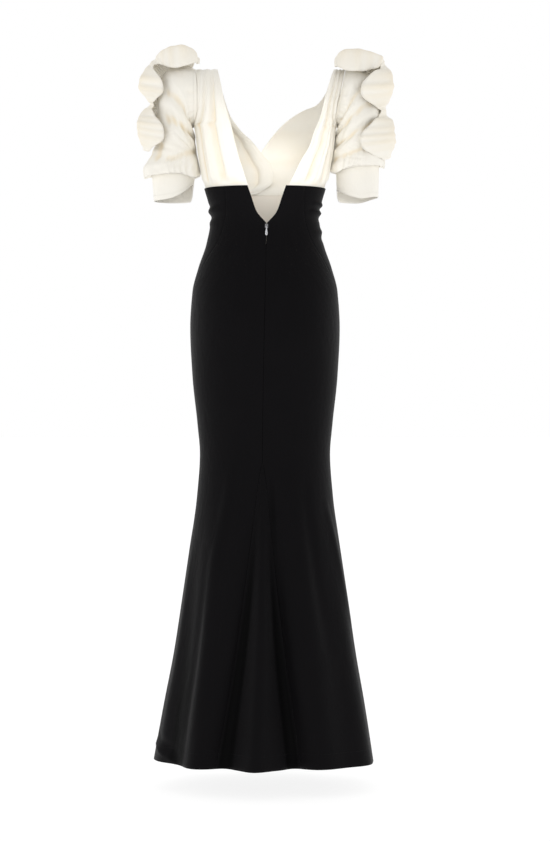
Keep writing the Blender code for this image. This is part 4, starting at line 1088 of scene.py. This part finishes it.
def crease_depth(creases, u, v):
    """How far the cloth lies in at that place, all creases together."""
    total = 0.0
    for crease in creases:
        start = np.array([crease.round_a * SLEEVE_GIRTH, crease.along_a * SLEEVE_LENGTH])
        end = np.array([crease.round_b * SLEEVE_GIRTH, crease.along_b * SLEEVE_LENGTH])
        here = np.stack([u % 1.0 * SLEEVE_GIRTH, v * SLEEVE_LENGTH], axis=-1)
        along = np.clip((here - start) @ (end - start) / ((end - start) @ (end - start)), 0.0, 1.0)
        away = np.linalg.norm(here - start - along[..., None] * (end - start), axis=-1)
        total = total + crease.depth * bell(away, crease.half_width)
    return total * fade(v, *CREASE_FADE)


def fan(point):
    """The creases that fan out from the underarm, as a height from -1 to 1."""
    across, up = np.abs(point[..., 0]) - FAN_X, point[..., 2] - FAN_Z
    turn, away = np.arctan2(up, across), np.hypot(across, up)
    height = ripples(FAN_CREASES, turn, swing_at=away)
    return height * ramp(away, *FAN_START) * (1 - FAN_LOSS * ramp(away, *FAN_END))


class MESH_OT_gown_sleeves(Operator):
    """Add the two puff sleeves and their cuffs"""

    bl_idname = "mesh.gown_sleeves"
    bl_label = "Sleeves"

    def execute(self, context):
        sleeves = context.scene.gown_sleeves
        sides = (
            ("left", 1, SLEEVE_LEFT, CREASES_LEFT, CUFF_LEFT),
            ("right", -1, SLEEVE_RIGHT, CREASES_RIGHT, CUFF_RIGHT),
        )
        for word, side, rings, creases, cuff in sides:
            form = sleeve_form(rings, side)

            def outward(point, side=side):
                return Vector((point.x - side * SLEEVE_MIDDLE_X, point.y, 0)).normalized()

            def surface(u, v, form=form, side=side, creases=creases):
                point = form(u, v)
                depth = sleeves.crease_strength * crease_depth(creases, u, v)
                head = bell(v, *HEAD_ZONE) * ramp(v, *HEAD_FADE)
                depth = depth + sleeves.head_gather * ripples(HEAD_GATHERS, u) * head
                depth = depth - sleeves.fan_height * fan(point) * fade(v, *FAN_FADE)
                above_cuff = ramp(1 - v, *HEM_FADE)
                hem = bell(v, *HEM_ZONE) * above_cuff
                depth = depth - sleeves.hem_gather * ripples(HEM_GATHERS, u) * hem
                sag = bell(v, *SAG_ZONE) * above_cuff
                point[..., 2] -= sleeves.hem_gather * ripples(HEM_SAG, u) * sag
                way = surface_normal(form, u, v, True) * side
                return point + way * depth[..., None]

            cloth = (150, 90, IVORY_WALL, outward, "ivory taffeta")
            add_cloth(f"sleeve_{word}", surface, *cloth, ring=True)

            def band(u, v, size=cuff, side=side):
                turn = 2 * math.pi * u
                out, back = np.cos(turn), np.sin(turn)
                rise = size.rise_inner * ((1 - out) / 2) ** 3 * ramp(back, -0.6, 0.2)
                rise = rise + size.rise_outer * ramp(out, 0, 1)
                z = size.bottom_z + rise + (size.top_z - size.bottom_z - rise) * v
                narrow = size.taper * (1 - v)
                x = size.middle_x + (size.half_width - narrow) * out
                return np.stack([x * side, (size.half_depth - narrow) * back, z], axis=-1)

            cloth = (120, 24, IVORY_WALL, outward, "ivory taffeta")
            add_cloth(f"cuff_{word}", band, *cloth, ring=True)
        return {"FINISHED"}


def frill_surface(rings, waves, side, ripple):
    """A wide strip sewn along the sleeve by one edge. It folds over and its free edge waves."""
    sleeve = sleeve_form(rings, side)
    read = {axis: curve(waves, "step", axis, free=True) for axis in Wave._fields[1:]}

    def plain(u, v):
        step = read["root"](u)
        round_sleeve = FRILL_ROUND + 0 * u
        out = surface_normal(sleeve, round_sleeve, step, True) * -side
        root = sleeve(round_sleeve, step) + out * (FRILL_GAP + FRILL_WALL / 2)
        fold = np.stack([read["fold_x"](u) * side, read["fold_y"](u), read["fold_z"](u)], axis=-1)
        edge = np.stack([read["x"](u) * side, read["y"](u), read["z"](u)], axis=-1)
        pull = 2 * fold - (root + edge) / 2
        v = v[..., None]
        return root * (1 - v) ** 2 + pull * (2 * v * (1 - v)) + edge * (v * v)

    def surface(u, v):
        way = surface_normal(plain, u, v, False)
        wide = ramp(v, *FRILL_WAVE_FADE) * (1 - FRILL_FOLD_LOSS * bell(v, *FRILL_FOLD))
        sewn = ramp(v, *FRILL_GATHER_START) * (1 - ramp(v, *FRILL_GATHER_END))
        height = ripples(FRILL_WAVES, u, v) * wide + ripples(FRILL_GATHERS, u) * sewn
        return plain(u, v) + way * (ripple * height)[..., None]

    return surface


class MESH_OT_gown_frills(Operator):
    """Add the two frills over the shoulders and down the outer sleeves"""

    bl_idname = "mesh.gown_frills"
    bl_label = "Frills"

    def execute(self, context):
        ripple = context.scene.gown_sleeves.frill_ripple
        sides = (("left", 1, SLEEVE_LEFT, FRILL_LEFT), ("right", -1, SLEEVE_RIGHT, FRILL_RIGHT))
        for word, side, rings, waves in sides:
            surface = frill_surface(rings, waves, side, ripple)
            cloth = (420, 28, FRILL_WALL, lambda point: point.normalized(), "ivory taffeta")
            # The frills take painted shade in the troughs of both their faces
            add_cloth(f"frill_{word}", surface, *cloth, offset=0.0, two_sided=True, shade_strength=0.45)
        return {"FINISHED"}


class MESH_OT_gown_zip(Operator):
    """Give the zip's slider and pull their metal"""

    bl_idname = "mesh.gown_zip"
    bl_label = "Zip"

    def execute(self, context):
        metal = bpy.data.materials.new("zip metal finish")
        tree, shader = link_nodes(metal)
        place = add_node(tree, "ShaderNodeTexCoord").outputs["Object"]
        wear = add_noise(tree, place, 900.0, 3.0)
        shine = add_node(tree, "ShaderNodeMapRange", {"Value": wear, "To Min": 0.18, "To Max": 0.34})
        values = {"Base Color": ZIP_COLOUR, "Metallic": 1.0, "Roughness": shine.outputs["Result"]}
        feed(tree, shader, values)
        for name in ("zip_slider", "zip_pull"):
            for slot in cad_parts[name].material_slots:
                slot.material = metal
        return {"FINISHED"}


def add_light(name, kind, power, place, aim):
    """A light that shines from a place to its aim."""
    lamp = bpy.data.lights.new(name, kind)
    lamp.energy = power
    holder = bpy.data.objects.new(name, lamp)
    holder.location = place
    holder.rotation_euler = (holder.location - Vector(aim)).to_track_quat("Z", "Y").to_euler()
    bpy.context.scene.collection.objects.link(holder)
    return lamp


class MESH_OT_gown_studio(Operator):
    """Add the floor, the lights and the camera"""

    bl_idname = "mesh.gown_studio"
    bl_label = "Studio"

    def execute(self, context):
        studio = context.scene.gown_studio
        bm = bmesh.new()
        bmesh.ops.create_grid(bm, x_segments=1, y_segments=1, size=studio.floor_size / 2)
        mesh = bpy.data.meshes.new("floor")
        bm.to_mesh(mesh)
        bm.free()
        paper = bpy.data.materials.new("white paper")
        tree, shader = link_nodes(paper)
        values = {
            "Base Color": (FLOOR_GREY, FLOOR_GREY, FLOOR_GREY, 1),
            "Roughness": 0.9,
            "Emission Color": (1.0, 1.0, 1.0, 1),
            "Emission Strength": FLOOR_GLOW,
        }
        feed(tree, shader, values)
        mesh.materials.append(paper)
        floor = bpy.data.objects.new("floor", mesh)
        floor.location.z = HEM_Z - studio.floor_drop
        context.scene.collection.objects.link(floor)
        world = bpy.data.worlds.new("studio")
        world.use_nodes = True
        tree = world.node_tree
        way = add_node(tree, "ShaderNodeTexCoord").outputs["Generated"]
        split = add_node(tree, "ShaderNodeSeparateXYZ", {"Vector": way})
        names = ("From Min", "From Max", "To Min", "To Max")
        values = dict(zip(names, (*HORIZON_BAND, studio.horizon, studio.sky)))
        glow = add_node(tree, "ShaderNodeMapRange", {"Value": split.outputs["Z"], **values})
        sky = {"Color": (1.0, 1.0, 1.0, 1), "Strength": glow.outputs["Result"]}
        feed(tree, tree.nodes["Background"], sky)
        context.scene.world = world
        context.scene.view_settings.view_transform = "Standard"
        for name, place, size, share in LIGHTS:
            lamp = add_light(name, "AREA", studio.key_power * share, place, LIGHT_AIM)
            lamp.size = size
        lamp = add_light("inside", "SPOT", studio.inside_power, INSIDE_LIGHT, INSIDE_AIM)
        lamp.spot_size, lamp.spot_blend = math.radians(INSIDE_SPREAD_DEG), 1.0
        lamp.shadow_soft_size = INSIDE_SOFTNESS
        camera = bpy.data.objects.new("camera", bpy.data.cameras.new("camera"))
        camera.data.lens = studio.lens
        camera.location = CAMERA_PLACE
        camera.rotation_euler = (math.radians(90), 0, math.radians(180))
        context.scene.collection.objects.link(camera)
        context.scene.camera = camera
        return {"FINISHED"}


class VIEW3D_PT_gown(Panel):
    """The gown's pieces and their settings"""

    bl_label = "Gown"
    bl_idname = "VIEW3D_PT_gown"
    bl_space_type = "VIEW_3D"
    bl_region_type = "UI"
    bl_category = "Gown"

    def draw(self, context):
        groups = (
            (context.scene.gown_skirt, (MESH_OT_gown_skirt,)),
            (context.scene.gown_bodice, (MESH_OT_gown_bodice,)),
            (context.scene.gown_sleeves, (MESH_OT_gown_sleeves, MESH_OT_gown_frills, MESH_OT_gown_zip)),
            (context.scene.gown_studio, (MESH_OT_gown_studio,)),
        )
        for settings, operators in groups:
            box = self.layout.box()
            for key in settings.bl_rna.properties.keys():
                if key not in ("rna_type", "name"):
                    box.prop(settings, key)
            for operator in operators:
                box.operator(operator.bl_idname)


OPERATORS = (
    MESH_OT_gown_skirt,
    MESH_OT_gown_bodice,
    MESH_OT_gown_sleeves,
    MESH_OT_gown_frills,
    MESH_OT_gown_zip,
    MESH_OT_gown_studio,
)
SETTINGS = {
    "gown_skirt": GownSkirt,
    "gown_bodice": GownBodice,
    "gown_sleeves": GownSleeves,
    "gown_studio": GownStudio,
}
CLASSES = (*SETTINGS.values(), *OPERATORS, VIEW3D_PT_gown)


def register():
    for cls in CLASSES:
        bpy.utils.register_class(cls)
    for name, group in SETTINGS.items():
        setattr(bpy.types.Scene, name, PointerProperty(type=group))


def unregister():
    for name in SETTINGS:
        delattr(bpy.types.Scene, name)
    for cls in reversed(CLASSES):
        bpy.utils.unregister_class(cls)


def main():
    register()
    bpy.ops.mesh.gown_skirt()
    bpy.ops.mesh.gown_bodice()
    bpy.ops.mesh.gown_sleeves()
    bpy.ops.mesh.gown_frills()
    bpy.ops.mesh.gown_zip()
    bpy.ops.mesh.gown_studio()


if __name__ == "__main__":
    main()
